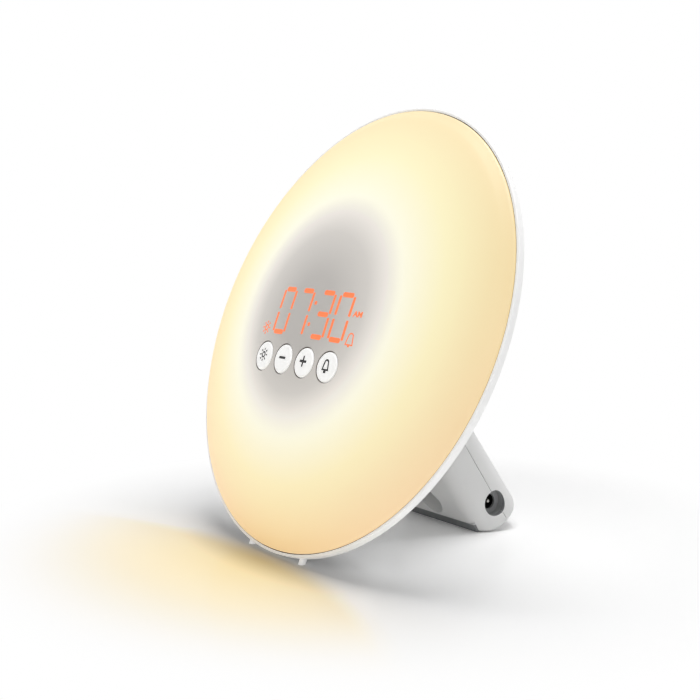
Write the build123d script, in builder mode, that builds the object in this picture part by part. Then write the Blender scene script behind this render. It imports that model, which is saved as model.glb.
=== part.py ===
from build123d import *
import os
from math import atan, cos, degrees, radians, sin, sqrt, tan

os.makedirs("parts", exist_ok=True)

# Sunrise alarm clock: a tilted round lamp on a leg that grows out of its back.
# Millimetres. X runs across the face, -Y is the front, Z is up, and the
# origin lies on the table under the middle of the lamp.
# Spots on the lamp's face are given as (across, up), heights as distances in
# front of the face plane, in which the diffuser's edge lies.

# ---------------------------------------------------------------- driving sizes
lamp_depth = 111.46         # front of the dome to the heel of the leg
face_tilt = 22.0            # how far the face leans back, degrees
fit_gap = 0.15              # between pieces that seat in each other
running_gap = 0.25          # between a button and the hole it slides in

# Round shell
rim_radius = 89.5
rim_band = 2.6              # depth of the rim's straight side
rim_wall = 1.05             # rim beside the diffuser
rim_lift = 0.35             # air under the rim: the feet carry the lamp
rim_round = 0.4             # rounding of the rim's front corner
back_depth = 21.5           # how far the back bulges behind the face plane
shell_wall = 2.4
seat_depth = 2.0            # ledge that the diffuser stands on
seat_width = 2.75
snap_depth = 1.15           # middle of the snap bead, below the face plane
snap_width = 0.5
snap_height = 0.45

# Diffuser
dome_rise = 16.74
dome_spread = 2.28          # exponents of the dome's curve
dome_fullness = 1.36
dome_wall = 2.2
rim_gap = 0.35              # dark line between the diffuser and the rim

# Buttons
button_radius = 5.7
button_pitch = 14.1
button_drop = 19.5          # row of buttons below the middle of the face
button_proud = 0.35
button_edge = 0.9           # rounding of a cap's edge
button_skirt_wall = 1.0
button_bottom = 9.3         # lower end of a cap's skirt
button_cavity = 4.2         # hollow inside a cap
flange_reach = 1.1          # flange that keeps a cap behind the mask
flange_thick = 0.8
button_travel = 0.6
stem_radius = 1.5

# Display: board, mask and light module
board_thick = 1.6
display_board_top = 4.0
mask_top = 12.2
mask_thick = 1.2
mask_skirt_wall = 1.4
mask_post_radius = 3.2
mask_post_circle = 34.1
mask_post_angles = (50, 130, -20, -160)
cup_radius = 39.0           # inside of the cup round the display
cup_wall = 1.6
digit_height = 17.2         # between the middles of the lying segments
digit_width = 8.2           # between the middles of the standing segments
digit_pitch = 12.0
digit_split = 13.2          # pitch across the colon
digit_shift = 2.6           # middle of the display right of the face's middle
digit_line = -0.6
lying_length = 6.6
lying_height = 2.1
standing_length = 7.4
standing_width = 1.3
colon_side = 1.3
colon_spread = 8.4
window_gap = 0.1
module_width = 56.0
module_height = 21.0

# Switches under the buttons
switch_side = 6.0
switch_height = 3.5
plunger_radius = 1.6
plunger_spare = 0.4         # room and show left when a button is pressed home
switch_floor = 0.9

# Light ring
ring_floor = -6.2           # front of the reflector's flat ring
reflector_wall = 1.4
ring_outer = 62.0
flange_inner = 81.5
flange_outer = 84.5
flange_height = 1.2
reflector_gap = 0.4         # air between the reflector's cup and the diffuser
led_count = 24
led_circle = 54.5
led_side = 3.5
led_thick = 1.2
led_window = 5.5
ring_board_inner = 49.5
ring_board_outer = 60.0
ring_board_thick = 1.2
ring_post_radius = 2.2
ring_post_angle = 7.5
reflector_boss_circle = 45.5
reflector_boss_radius = 2.6

# Screws
screw_radius = 1.3
screw_play = 0.2            # hole around a screw's shank
pilot_play = 0.05           # thread and the pilot hole it is cut into
screw_head_radius = 2.4
screw_head_height = 1.4
drive_share = 0.55          # cross in a screw's head, of the head's width
drive_width = 0.8
long_screw = 18.0
short_screw = 6.0
leg_screw_length = 8.0
pilot_depth = 12.0
main_pilot_depth = 5.2
reflector_pilot = 5.2
boss_radius = 3.2

# Main board
main_board_width = 52.0
main_board_height = 29.0
main_board_line = -5.0
main_board_top = -7.4
main_boss_radius = 2.4
main_boss_inset = 3.4
main_screw_radius = 0.9
main_head_radius = 1.7
chip_side = 10.0
chip_thick = 1.6
chip_spot = (-6.0, -6.0)
capacitor_radius = 3.6
capacitor_height = 8.4
capacitor_spots = ((-19.5, -6.5), (-17.5, 4.0))
cell_radius = 10.0
cell_thick = 3.2
cell_spot = (12.6, -6.5)
holder_wall = 0.8
holder_floor = 0.6
holder_height = 3.0
connector_width = 14.0
connector_depth = 4.0
connector_height = 3.0
connector_line = 6.8
ribbon_width = 12.0
ribbon_thick = 0.5
power_plug_width = 8.0
board_corner = 2.0

# Speaker
speaker_radius = 15.0
speaker_line = 30.0
speaker_seat_rise = 0.5     # lowest height of the speaker's ring on the shell
speaker_seat_width = 2.2
gasket_thick = 0.8
speaker_flange = 1.2
speaker_basket = 3.9        # depth of the basket behind its flange
basket_wall = 0.9
basket_back_radius = 9.0
voice_opening = 4.6
magnet_radius = 8.0
magnet_thick = 3.6
cone_thick = 0.4
grille_hole_radius = 0.9
grille_pitch = 3.4
grille_reach = 10.8
vent_count = 5
vent_length = 16.0
vent_width = 2.0
vent_pitch = 4.4
vent_spot = (44.0, -36.0)

# Leg
socket_height = 11.65       # power socket's axis above the table
socket_ahead = 1.0          # socket's axis in front of the leg's seam
leg_slope = 58.0            # slope of the leg's seam, degrees
leg_half_width = 25.3       # at the socket
leg_narrowing = 0.083       # half-width lost per millimetre up the leg
leg_bulge = 16.1            # back of the leg behind the seam, at the socket
leg_bulge_taper = 0.055
leg_front = 12.8            # front of the leg ahead of the seam
leg_draft = 5.0             # each side's lean inwards towards the front, degrees
leg_corner = 7.2
leg_wall = 2.2
leg_lift = 0.4              # hard shells above the table
sole_start = -4.0           # level part of the sole ends here, behind the seam point
sole_radius = 14.0          # bend from there up to the heel
sole_slope = 32.0           # rise of the heel's underside, degrees
sole_edge = 1.2
leg_head = 5.0              # solid top of the leg behind the lamp's back
seam_gap = 0.25
collar_wall = 2.2
collar_height = 3.2
leg_screw_offsets = ((-10.5, -11.8), (10.5, -11.8), (-9.5, 5.7), (9.5, 5.7))  # from leg's seam
leg_screw_seat = -17.6
wire_hole_radius = 4.5
wire_hole_offset = -3.8     # from the leg's seam

# Foot pad and front feet
pad_rise = 3.6              # how high the pad shows on the leg's front
pad_reach = 5.0             # how far it runs back under the leg
pad_half_width = 21.8
pad_thick = 1.8
pad_bed = 1.4               # shell behind the pad
pad_sink = 0.25             # pad's front behind the leg's front
foot_radius = 1.3
foot_spacing = 34.48
foot_setback = 3.4          # middle of a foot behind the face plane
foot_inset = 4.5            # upper end of a foot above the rim's lowest edge
foot_length = 8.0
foot_seat = 0.02

# Power socket
socket_radius = 5.1
socket_depth = 4.0          # mouth of the recess to its floor
socket_floor = 1.0
socket_opening = 3.05       # hole in the floor, in front of the jack
cup_side_wall = 0.9
cup_sink = 1.6              # cup's front edge below the leg's side
jack_length = 14.0
jack_block = 9.0
jack_bore = 2.9
jack_bore_depth = 9.0
pin_radius = 1.0
pin_sink = 0.4              # pin's tip behind the recess's floor
tab_thick = 0.6
tab_width = 3.0
tab_length = 4.0
tab_spread = 5.0

# Screw pocket in the front of the leg
pocket_radius = 6.4
pocket_wall = 1.2
pocket_floor = 1.6
pocket_rise = 7.0           # pocket's middle above the pad's top edge
pocket_depth = 5.4
seam_boss_radius = 2.7
seam_screw_length = 12.0
seam_screw_hole = 1.6

# Wires
wire_radius = 0.8
wire_bend = 3.0             # middle of a power wire's tight bend
wire_entry = 8.0            # straight run of a power wire before its hole
wire_side = -7.5            # power wires pass the seam's boss on this side
lead_radius = 0.5
lead_gap = 2.4              # between the middles of paired wires
lead_bend = 1.6
light_lead_line = -52.0     # where the leads stand on the light ring's board
light_lead_level = -11.2
board_edge_inset = 2.0      # leads' ends from the main board's edges
speaker_lead_spread = 10.2  # across, from the speaker's middle
speaker_lead_level = -5.4

# ------------------------------------------------------------------- frame
lean = radians(face_tilt)
slope = radians(leg_slope)
draft = radians(leg_draft)
inner_rim = rim_radius - rim_wall
skirt_radius = inner_rim - rim_gap


def rise(radius, edge, height):
    """Height of the diffuser's curve above its edge plane."""
    return height * max(0.0, 1 - (radius / edge) ** dome_spread) ** (1 / dome_fullness)


front_reach = max(
    radius * sin(lean) + rise(radius, skirt_radius, dome_rise) * cos(lean)
    for radius in [skirt_radius * step / 400 for step in range(401)]
)
face_y = -lamp_depth / 2 + front_reach
face_z = rim_radius * cos(lean) + rim_band * sin(lean) + rim_lift
face_centre = Vector(0, face_y, face_z)
face = Plane(origin=face_centre, x_dir=(1, 0, 0), z_dir=(0, -cos(lean), sin(lean)))
face_section = Plane(origin=face_centre, x_dir=(1, 0, 0), z_dir=(0, -sin(lean), -cos(lean)))
face_upright = Plane(origin=face_centre, x_dir=(1, 0, 0), z_dir=(0, sin(lean), cos(lean)))
face_axis = Axis(face_centre, face.z_dir)

# The back is part of a sphere through the rim and the back's deepest point.
back_sag = back_depth - rim_band
back_radius = (rim_radius ** 2 + back_sag ** 2) / (2 * back_sag)

# The leg's two shells meet on a sloping plane through the socket's axis. Its
# sole is level under the toe, bends and rises to the heel, whose rounded edge
# ends flush with the back of the lamp's overall depth.
leg_up = Vector(0, -cos(slope), sin(slope))
leg_back = Vector(0, sin(slope), cos(slope))
back_line = (leg_up - leg_back * leg_bulge_taper).normalized()
back_normal = Vector(0, back_line.Z, -back_line.Y)
seam_height = socket_height + leg_back.Z * socket_ahead
back_offset = (Vector(0, 0, seam_height) + leg_back * leg_bulge).dot(back_normal) - sole_edge
sole_angle = radians(sole_slope)
sole_normal = Vector(0, sin(sole_angle), -cos(sole_angle))
sole_offset = Vector(0, sole_start, leg_lift + sole_radius).dot(sole_normal) + sole_radius - sole_edge
heel_middle = (back_offset * sole_normal.Z - sole_offset * back_normal.Z) / (
    back_normal.Y * sole_normal.Z - back_normal.Z * sole_normal.Y
)
seam_point = Vector(0, lamp_depth / 2 - heel_middle - sole_edge, seam_height)
leg_section = Plane(origin=seam_point, x_dir=(1, 0, 0), z_dir=leg_up)
seam = Plane(origin=seam_point, x_dir=(1, 0, 0), z_dir=leg_back)
leg_low = -40.0
leg_high = 95.0

# The leg's seam meets the back's deepest level on this line across the face
leg_foot_spot = face.to_local_coords(seam_point)
leg_rise = face.to_local_coords(seam_point + leg_up) - leg_foot_spot
leg_line = leg_foot_spot.Y - leg_rise.Y * (leg_foot_spot.Z + back_depth) / leg_rise.Z
leg_screw_spots = [(across, leg_line + offset) for across, offset in leg_screw_offsets]
wire_hole_line = leg_line + wire_hole_offset

# Levels that several pieces share
button_names = ("light", "minus", "plus", "alarm")
button_spots = [((index - 1.5) * button_pitch, -button_drop) for index in range(4)]
button_hole = button_radius + running_gap
mask_bottom = mask_top - mask_thick
display_board_back = display_board_top - board_thick
main_board_back = main_board_top - board_thick
ring_back = ring_floor - reflector_wall
ring_board_top = ring_back - fit_gap
ring_board_back = ring_board_top - ring_board_thick
switch_top = display_board_top + switch_height
plunger_top = switch_top + button_travel + plunger_spare
screw_hole = screw_radius + screw_play
main_screw_hole = main_screw_radius + screw_play
pilot = screw_radius + pilot_play
main_pilot = main_screw_radius + pilot_play
main_boss_spots = [
    (
        side * (main_board_width / 2 - main_boss_inset),
        main_board_line + row * (main_board_height / 2 - main_boss_inset),
    )
    for side in (-1, 1)
    for row in (-1, 1)
]
reflector_spots = [
    (reflector_boss_circle * cos(radians(angle)), reflector_boss_circle * sin(radians(angle)))
    for angle in (45, 135, 225, 315)
]
grille_rows = range(-6, 7)
grille_spots = [
    (grille_pitch * (column + row % 2 / 2), speaker_line + grille_pitch * sqrt(3) / 2 * row)
    for row in grille_rows
    for column in grille_rows
    if grille_pitch * sqrt((column + row % 2 / 2) ** 2 + 0.75 * row ** 2) < grille_reach
]
mask_post_spots = [
    (mask_post_circle * cos(radians(angle)), mask_post_circle * sin(radians(angle)))
    for angle in mask_post_angles
]


def back_level(radius, inset=0.0):
    """Height of the back's surface, moved inwards by inset."""
    return back_radius - back_depth - sqrt((back_radius - inset) ** 2 - radius ** 2)


flange_base = back_level(flange_outer, shell_wall) + fit_gap
speaker_seat = back_level(speaker_line + speaker_radius, shell_wall) + speaker_seat_rise


def back_form(inset, front):
    """Solid between the back's surface, moved inwards by inset, and a flat front."""
    with BuildPart() as form:
        with BuildSketch(face_section):
            with BuildLine():
                ThreePointArc(
                    (0, back_level(0, inset)),
                    (rim_radius / 2, back_level(rim_radius / 2, inset)),
                    (rim_radius, back_level(rim_radius, inset)),
                )
                Polyline(
                    (rim_radius, back_level(rim_radius, inset)),
                    (rim_radius, front),
                    (0, front),
                    (0, back_level(0, inset)),
                )
            make_face()
        revolve(axis=face_axis)
    return form.part


def dome_form(inset, base):
    """Solid under the diffuser's curve, moved inwards by inset, down to base."""
    edge = skirt_radius - inset
    top = dome_rise - inset
    steps = [radians(7.5 * step) for step in range(13)]
    with BuildPart() as form:
        with BuildSketch(face_section):
            with BuildLine():
                Spline(
                    [(edge * sin(step), rise(edge * sin(step), edge, top)) for step in steps],
                    tangents=[(1, 0), (0, -1)],
                )
                Polyline((edge, 0), (edge, base), (0, base), (0, top))
            make_face()
        revolve(axis=face_axis)
    return form.part


def leg_form(inset):
    """The leg's tapered body with its sole, moved inwards by inset."""
    with BuildPart() as form:
        for reach in (leg_low, leg_high):
            half_width = leg_half_width - leg_narrowing * reach - inset
            bulge = leg_bulge - leg_bulge_taper * reach - inset
            front = leg_front - inset
            # The leaning sides run on smoothly from a half ellipse
            turn = atan(tan(draft) * bulge / half_width)
            shoulder = (half_width * cos(turn), -bulge * sin(turn))
            toe = shoulder[0] - (front + shoulder[1]) * tan(draft)
            with BuildSketch(leg_section.offset(reach)) as section:
                with BuildLine():
                    EllipticalCenterArc(
                        (0, 0),
                        half_width,
                        bulge,
                        start_angle=-degrees(turn),
                        arc_size=180 + 2 * degrees(turn),
                    )
                    Polyline(
                        (-shoulder[0], shoulder[1]),
                        (-toe, -front),
                        (toe, -front),
                        shoulder,
                    )
                make_face()
                fillet(section.vertices().group_by(Axis.Y)[0], leg_corner - inset)
        loft(ruled=True)
        with BuildSketch(Plane.YZ):
            with BuildLine():
                bend = CenterArc(
                    (seam_point.Y + sole_start, leg_lift + sole_radius),
                    sole_radius - inset,
                    start_angle=-90,
                    arc_size=sole_slope,
                )
                heel = bend @ 1 + bend % 1 * lamp_depth
                Polyline(
                    bend @ 1,
                    heel,
                    (heel.X, 2 * rim_radius),
                    (-lamp_depth, 2 * rim_radius),
                    (-lamp_depth, leg_lift + inset),
                    bend @ 0,
                )
            make_face()
        extrude(amount=2 * leg_half_width, both=True, mode=Mode.INTERSECT)
    return form.part


def pegs(spots, radius, low, high):
    """Round pegs on the face's spots, from one height to another."""
    with BuildPart() as form:
        with BuildSketch(face.offset(low)):
            with Locations(*spots):
                Circle(radius)
        extrude(amount=high - low)
    return form.part


def leg_peg(radius, reach, low, high):
    """Round peg square to the leg's seam, on the leg's middle line."""
    with BuildPart() as form:
        with BuildSketch(seam.offset(low)):
            with Locations((0, -reach)):
                Circle(radius)
        extrude(amount=high - low)
    return form.part


def leg_spot(reach, back):
    """The (Y, Z) of a point on the leg's middle plane: up the leg, behind the seam."""
    spot = seam_point + leg_up * reach + leg_back * back
    return (spot.Y, spot.Z)


def leg_reach(height, back):
    """How far up the leg a line at this distance behind the seam has this height."""
    return (height - seam_height - leg_back.Z * back) / leg_up.Z


def side_peg(radius, low, high):
    """Round peg on the power socket's axis, from one distance across to another."""
    with BuildPart() as form:
        with BuildSketch(Plane.YZ.offset(low)):
            with Locations(leg_spot(0, -socket_ahead)):
                Circle(radius)
        extrude(amount=high - low)
    return form.part


def pad_form(growth, front_growth, half_width):
    """Foot pad's angled bar: up the leg's front and back under the leg."""
    outer = leg_front - pad_sink
    front = outer + front_growth
    inner = outer - pad_thick - growth
    top = leg_reach(pad_rise + growth, -outer)
    heel = leg_spot(leg_reach(0, -outer), -outer)[0] + pad_reach + growth
    with BuildPart() as form:
        with BuildSketch(Plane.YZ):
            Polygon(
                leg_spot(leg_reach(-front_growth, -front), -front),
                leg_spot(top, -front),
                leg_spot(top, -inner),
                leg_spot(leg_reach(pad_thick + growth, -inner), -inner),
                (heel, pad_thick + growth),
                (heel, -front_growth),
                align=None,
            )
        extrude(amount=half_width, both=True)
    return form.part


# ---------------------------------------------------------------- rear housing
# White moulded dish: a straight rim, a ledge for the diffuser, screw bosses, a
# ring for the speaker behind a drilled grille, and a collar round the leg.
seat_inner = inner_rim - seat_width
housing_clearance = back_form(-fit_gap, dome_rise)
with BuildPart() as leg_body:
    add(leg_form(0))
    sole = leg_body.faces().filter_by(lambda side: side.normal_at().Z < sole_normal.Z + 0.1)
    fillet(sole.edges() - sole.edges().filter_by(Axis.X), sole_edge)
leg_outer = leg_body.part

# Bosses are drawn too deep, then trimmed to the middle of the shell's wall.
with BuildPart() as bosses:
    add(pegs(mask_post_spots, boss_radius, -back_depth, display_board_back))
    add(pegs(main_boss_spots, main_boss_radius, -back_depth, main_board_back))
    add(pegs(leg_screw_spots, boss_radius, -back_depth, leg_screw_seat))
    add(pegs(reflector_spots, reflector_boss_radius, -back_depth, ring_back))
    with BuildSketch(face.offset(-back_depth)):
        with PolarLocations(led_circle, 4, start_angle=ring_post_angle):
            Circle(ring_post_radius)
    extrude(amount=back_depth + ring_board_back)
    with BuildSketch(face.offset(-back_depth)):
        with Locations((0, speaker_line)):
            Circle(speaker_radius)
            Circle(speaker_radius - speaker_seat_width, mode=Mode.SUBTRACT)
    extrude(amount=back_depth + speaker_seat)
    add(back_form(shell_wall / 2, dome_rise), mode=Mode.INTERSECT)

with BuildPart() as collar:
    add(leg_form(-collar_wall))
    split(bisect_by=face.offset(-back_depth - collar_height), keep=Keep.TOP)
    add(back_form(shell_wall / 2, dome_rise), mode=Mode.SUBTRACT)

with BuildPart() as leg_space:
    add(leg_form(-fit_gap))
    add(back_form(0, dome_rise), mode=Mode.SUBTRACT)

with BuildPart() as rear_housing:
    with BuildSketch(face_section) as wall:
        with BuildLine():
            ThreePointArc(
                (0, back_level(0)),
                (rim_radius / 2, back_level(rim_radius / 2)),
                (rim_radius, back_level(rim_radius)),
            )
            Polyline(
                (rim_radius, back_level(rim_radius)),
                (rim_radius, 0),
                (inner_rim, 0),
                (inner_rim, -seat_depth),
                (seat_inner, -seat_depth),
                (seat_inner, back_level(seat_inner, shell_wall)),
            )
            ThreePointArc(
                (seat_inner, back_level(seat_inner, shell_wall)),
                (seat_inner / 2, back_level(seat_inner / 2, shell_wall)),
                (0, back_level(0, shell_wall)),
            )
            Line((0, back_level(0, shell_wall)), (0, back_level(0)))
        make_face()
        fillet(wall.vertices().group_by(Axis.Y)[-1].sort_by(Axis.X)[-1], rim_round)
        with Locations((inner_rim + fit_gap, -snap_depth)):
            Rectangle(2 * snap_height, snap_width + 2 * fit_gap, mode=Mode.SUBTRACT)
    revolve(axis=face_axis)
    add(bosses.part)
    add(collar.part)
    add(leg_space.part, mode=Mode.SUBTRACT)
    # Pilot holes in the bosses, and through holes for the leg's screws
    add(pegs(mask_post_spots, pilot, display_board_back - pilot_depth, mask_top), mode=Mode.SUBTRACT)
    add(
        pegs(main_boss_spots, main_pilot, main_board_back - main_pilot_depth, main_board_back),
        mode=Mode.SUBTRACT,
    )
    add(pegs(leg_screw_spots, screw_hole, -back_depth - collar_height, leg_screw_seat), mode=Mode.SUBTRACT)
    add(pegs(reflector_spots, pilot, ring_back - reflector_pilot, ring_back), mode=Mode.SUBTRACT)
    # Way for the wires, speaker grille and cooling slots
    with BuildSketch(face.offset(-back_depth - collar_height)):
        with Locations((0, wire_hole_line)):
            Circle(wire_hole_radius)
        with Locations(*grille_spots):
            Circle(grille_hole_radius)
        for side in (-1, 1):
            with Locations((side * vent_spot[0], vent_spot[1])):
                with GridLocations(1, vent_pitch, 1, vent_count):
                    SlotOverall(vent_length, vent_width)
    extrude(amount=back_depth, mode=Mode.SUBTRACT)

rear_housing.part.label = "rear_housing"
export_step(rear_housing.part, "parts/rear_housing.step")

# Two round feet under the rim, moulded against the shell
with BuildPart() as front_feet:
    with BuildSketch(face_upright.offset(foot_inset - rim_radius)):
        with Locations((-foot_spacing / 2, foot_setback), (foot_spacing / 2, foot_setback)):
            Circle(foot_radius)
    extrude(amount=-foot_length)
    split(bisect_by=Plane.XY, keep=Keep.TOP)
    add(back_form(-foot_seat, 0), mode=Mode.SUBTRACT)

front_feet.part.label = "front_feet"
export_step(front_feet.part, "parts/front_feet.step")


# ---------------------------------------------------------------- light ring
# White reflector: a flat ring with a window for each light, a cone out to the
# rim and a straight cup round the display that keeps the light off it.
with BuildPart() as light_reflector:
    with BuildSketch(face_section):
        Polygon(
            (cup_radius, ring_back),
            (ring_outer, ring_back),
            (flange_inner, flange_base),
            (flange_outer, flange_base),
            (flange_outer, flange_base + flange_height),
            (flange_inner, flange_base + flange_height),
            (ring_outer, ring_floor),
            (cup_radius + cup_wall, ring_floor),
            (cup_radius + cup_wall, dome_rise),
            (cup_radius, dome_rise),
            align=None,
        )
    revolve(axis=face_axis)
    add(dome_form(dome_wall + reflector_gap, ring_back), mode=Mode.INTERSECT)
    with BuildSketch(face.offset(ring_floor)):
        with PolarLocations(led_circle, led_count):
            Rectangle(led_window, led_window)
    extrude(amount=-reflector_wall, mode=Mode.SUBTRACT)
    add(pegs(reflector_spots, screw_hole, ring_back, ring_floor), mode=Mode.SUBTRACT)

light_reflector.part.label = "light_reflector"
export_step(light_reflector.part, "parts/light_reflector.step")

# Ring-shaped board behind the reflector
with BuildPart() as light_board:
    with BuildSketch(face.offset(ring_board_back)):
        Circle(ring_board_outer)
        Circle(ring_board_inner, mode=Mode.SUBTRACT)
    extrude(amount=ring_board_thick)

light_board.part.label = "light_board"
export_step(light_board.part, "parts/light_board.step")

# Light-emitting diodes, one in each window of the reflector
with BuildPart() as light_diodes:
    with BuildSketch(face.offset(ring_board_top)):
        with PolarLocations(led_circle, led_count):
            Rectangle(led_side, led_side)
    extrude(amount=led_thick)

light_diodes.part.label = "light_diodes"
export_step(light_diodes.part, "parts/light_diodes.step")


def screws(spots, radius, head_radius, head_base, length):
    """Pan-head screws driven from the front, their heads standing on head_base."""
    with BuildPart() as form:
        with BuildSketch(face.offset(head_base)):
            with Locations(*spots):
                Circle(head_radius)
        extrude(amount=screw_head_height)
        fillet(form.faces().group_by(face_axis)[-1].edges(), screw_head_height / 3)
        with BuildSketch(face.offset(head_base + screw_head_height)):
            with Locations(*spots):
                SlotOverall(2 * head_radius * drive_share, drive_width)
                SlotOverall(2 * head_radius * drive_share, drive_width, rotation=90)
        extrude(amount=-screw_head_height / 2, mode=Mode.SUBTRACT)
        with BuildSketch(face.offset(head_base)):
            with Locations(*spots):
                Circle(radius)
        extrude(amount=-length)
    return form.part


with BuildPart() as reflector_screws:
    add(screws(reflector_spots, screw_radius, screw_head_radius, ring_floor, short_screw))

reflector_screws.part.label = "reflector_screws"
export_step(reflector_screws.part, "parts/reflector_screws.step")

# ---------------------------------------------------------------- main board
with BuildPart() as main_board:
    with BuildSketch(face.offset(main_board_back)):
        with Locations((0, main_board_line)):
            RectangleRounded(main_board_width, main_board_height, board_corner)
    extrude(amount=board_thick)
    add(pegs(main_boss_spots, main_screw_hole, main_board_back, main_board_top), mode=Mode.SUBTRACT)

main_board.part.label = "main_board"
export_step(main_board.part, "parts/main_board.step")

with BuildPart() as main_board_screws:
    add(screws(main_boss_spots, main_screw_radius, main_head_radius, main_board_top, short_screw))

main_board_screws.part.label = "main_board_screws"
export_step(main_board_screws.part, "parts/main_board_screws.step")

with BuildPart() as main_chip:
    with BuildSketch(face.offset(main_board_top)):
        with Locations(chip_spot):
            Rectangle(chip_side, chip_side)
    extrude(amount=chip_thick)
    chamfer(main_chip.faces().sort_by(face_axis)[-1].edges(), chip_thick / 4)

main_chip.part.label = "main_chip"
export_step(main_chip.part, "parts/main_chip.step")

with BuildPart() as capacitors:
    add(pegs(capacitor_spots, capacitor_radius, main_board_top, main_board_top + capacitor_height))
    fillet(capacitors.faces().group_by(face_axis)[-1].edges(), capacitor_radius / 8)

capacitors.part.label = "capacitors"
export_step(capacitors.part, "parts/capacitors.step")

# Back-up coin cell that keeps the time, in its round holder
cell_base = main_board_top + holder_floor
with BuildPart() as cell_holder:
    with BuildSketch(face.offset(main_board_top)):
        with Locations(cell_spot):
            Circle(cell_radius + fit_gap + holder_wall)
    extrude(amount=holder_height)
    with BuildSketch(face.offset(cell_base)):
        with Locations(cell_spot):
            Circle(cell_radius + fit_gap)
    extrude(amount=cell_thick, mode=Mode.SUBTRACT)

cell_holder.part.label = "cell_holder"
export_step(cell_holder.part, "parts/cell_holder.step")

with BuildPart() as backup_cell:
    add(pegs([cell_spot], cell_radius, cell_base, cell_base + cell_thick))
    fillet(backup_cell.faces().sort_by(face_axis)[-1].edges(), cell_thick / 6)

backup_cell.part.label = "backup_cell"
export_step(backup_cell.part, "parts/backup_cell.step")

# ---------------------------------------------------------------- display
with BuildPart() as display_board:
    with BuildSketch(face.offset(display_board_back)):
        Circle(cup_radius - fit_gap)
    extrude(amount=board_thick)
    add(pegs(mask_post_spots, screw_hole, display_board_back, display_board_top), mode=Mode.SUBTRACT)

display_board.part.label = "display_board"
export_step(display_board.part, "parts/display_board.step")

# Facing connectors on the two boards, and the flat cable between them
connector_spot = (0, connector_line)
with BuildPart() as board_connectors:
    with BuildSketch(face.offset(main_board_top)):
        with Locations(connector_spot):
            Rectangle(connector_width, connector_depth)
    extrude(amount=connector_height)
    with BuildSketch(face.offset(display_board_back)):
        with Locations(connector_spot):
            Rectangle(connector_width, connector_depth)
    extrude(amount=-connector_height)
    with BuildSketch(face.offset(main_board_back)):
        with Locations((0, wire_hole_line)):
            Rectangle(power_plug_width, connector_depth)
    extrude(amount=-connector_height)

board_connectors.part.label = "board_connectors"
export_step(board_connectors.part, "parts/board_connectors.step")

with BuildPart() as ribbon_cable:
    with BuildSketch(face.offset(main_board_top + connector_height)):
        with Locations(connector_spot):
            Rectangle(ribbon_width, ribbon_thick)
    extrude(amount=display_board_back - main_board_top - 2 * connector_height)

ribbon_cable.part.label = "ribbon_cable"
export_step(ribbon_cable.part, "parts/ribbon_cable.step")

# Seven bars for each digit, and the colon between the pairs
digit_columns = [
    digit_shift + side * (digit_split / 2 + place * digit_pitch)
    for side in (-1, 1)
    for place in (0, 1)
]
lying_spots = [
    (column, digit_line + row * digit_height / 2)
    for column in digit_columns
    for row in (-1, 0, 1)
]
standing_spots = [
    (column + side * digit_width / 2, digit_line + row * digit_height / 4)
    for column in digit_columns
    for side in (-1, 1)
    for row in (-1, 1)
]
colon_spots = [(digit_shift, digit_line + row * colon_spread / 2) for row in (-1, 1)]


def display_bars(growth, low, high):
    """The digits' bars and the colon, each widened by growth on all sides."""
    with BuildPart() as form:
        with BuildSketch(face.offset(low)):
            with Locations(*lying_spots):
                SlotOverall(lying_length + 2 * growth, lying_height + 2 * growth)
            with Locations(*standing_spots):
                SlotOverall(standing_length + 2 * growth, standing_width + 2 * growth, rotation=90)
            with Locations(*colon_spots):
                Rectangle(colon_side + 2 * growth, colon_side + 2 * growth)
        extrude(amount=high - low)
    return form.part


# Opaque mask: a front plate with the windows of the digits and the holes that
# guide the buttons, on a skirt and four posts that stand on the board.
head_base = mask_top - screw_head_height
with BuildPart() as display_mask:
    with BuildSketch(face.offset(mask_bottom)):
        Circle(cup_radius - fit_gap)
    extrude(amount=mask_thick)
    with BuildSketch(face.offset(display_board_top)):
        Circle(cup_radius - fit_gap)
        Circle(cup_radius - fit_gap - mask_skirt_wall, mode=Mode.SUBTRACT)
    extrude(amount=mask_bottom - display_board_top)
    add(pegs(mask_post_spots, mask_post_radius, display_board_top, mask_bottom))
    add(pegs(mask_post_spots, screw_hole, display_board_top, mask_top), mode=Mode.SUBTRACT)
    add(pegs(mask_post_spots, screw_head_radius + fit_gap, head_base, mask_top), mode=Mode.SUBTRACT)
    add(pegs(button_spots, button_hole, mask_bottom, mask_top), mode=Mode.SUBTRACT)
    add(display_bars(window_gap, mask_bottom, mask_top), mode=Mode.SUBTRACT)

display_mask.part.label = "display_mask"
export_step(display_mask.part, "parts/display_mask.step")

with BuildPart() as display_screws:
    add(screws(mask_post_spots, screw_radius, screw_head_radius, head_base, long_screw))

display_screws.part.label = "display_screws"
export_step(display_screws.part, "parts/display_screws.step")

# Block of light guides that the digits shine through
module_top = mask_bottom - fit_gap
with BuildPart() as display_module:
    with BuildSketch(face.offset(display_board_top)):
        with Locations((0, digit_line)):
            Rectangle(module_width, module_height)
    extrude(amount=module_top - display_board_top)

display_module.part.label = "display_module"
export_step(display_module.part, "parts/display_module.step")

with BuildPart() as display_digits:
    add(display_bars(0, module_top, mask_top))

display_digits.part.label = "display_digits"
export_step(display_digits.part, "parts/display_digits.step")

# ---------------------------------------------------------------- buttons
# A switch on the board under each button. Its plunger travels with the cap.
well_bottom = display_board_top + switch_floor
plunger_bottom = well_bottom + button_travel + plunger_spare
with BuildPart() as push_switches:
    with BuildSketch(face.offset(display_board_top)):
        with Locations(*button_spots):
            Rectangle(switch_side, switch_side)
    extrude(amount=switch_height)
    add(pegs(button_spots, plunger_radius + running_gap, well_bottom, switch_top), mode=Mode.SUBTRACT)

push_switches.part.label = "push_switches"
export_step(push_switches.part, "parts/push_switches.step")

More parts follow.
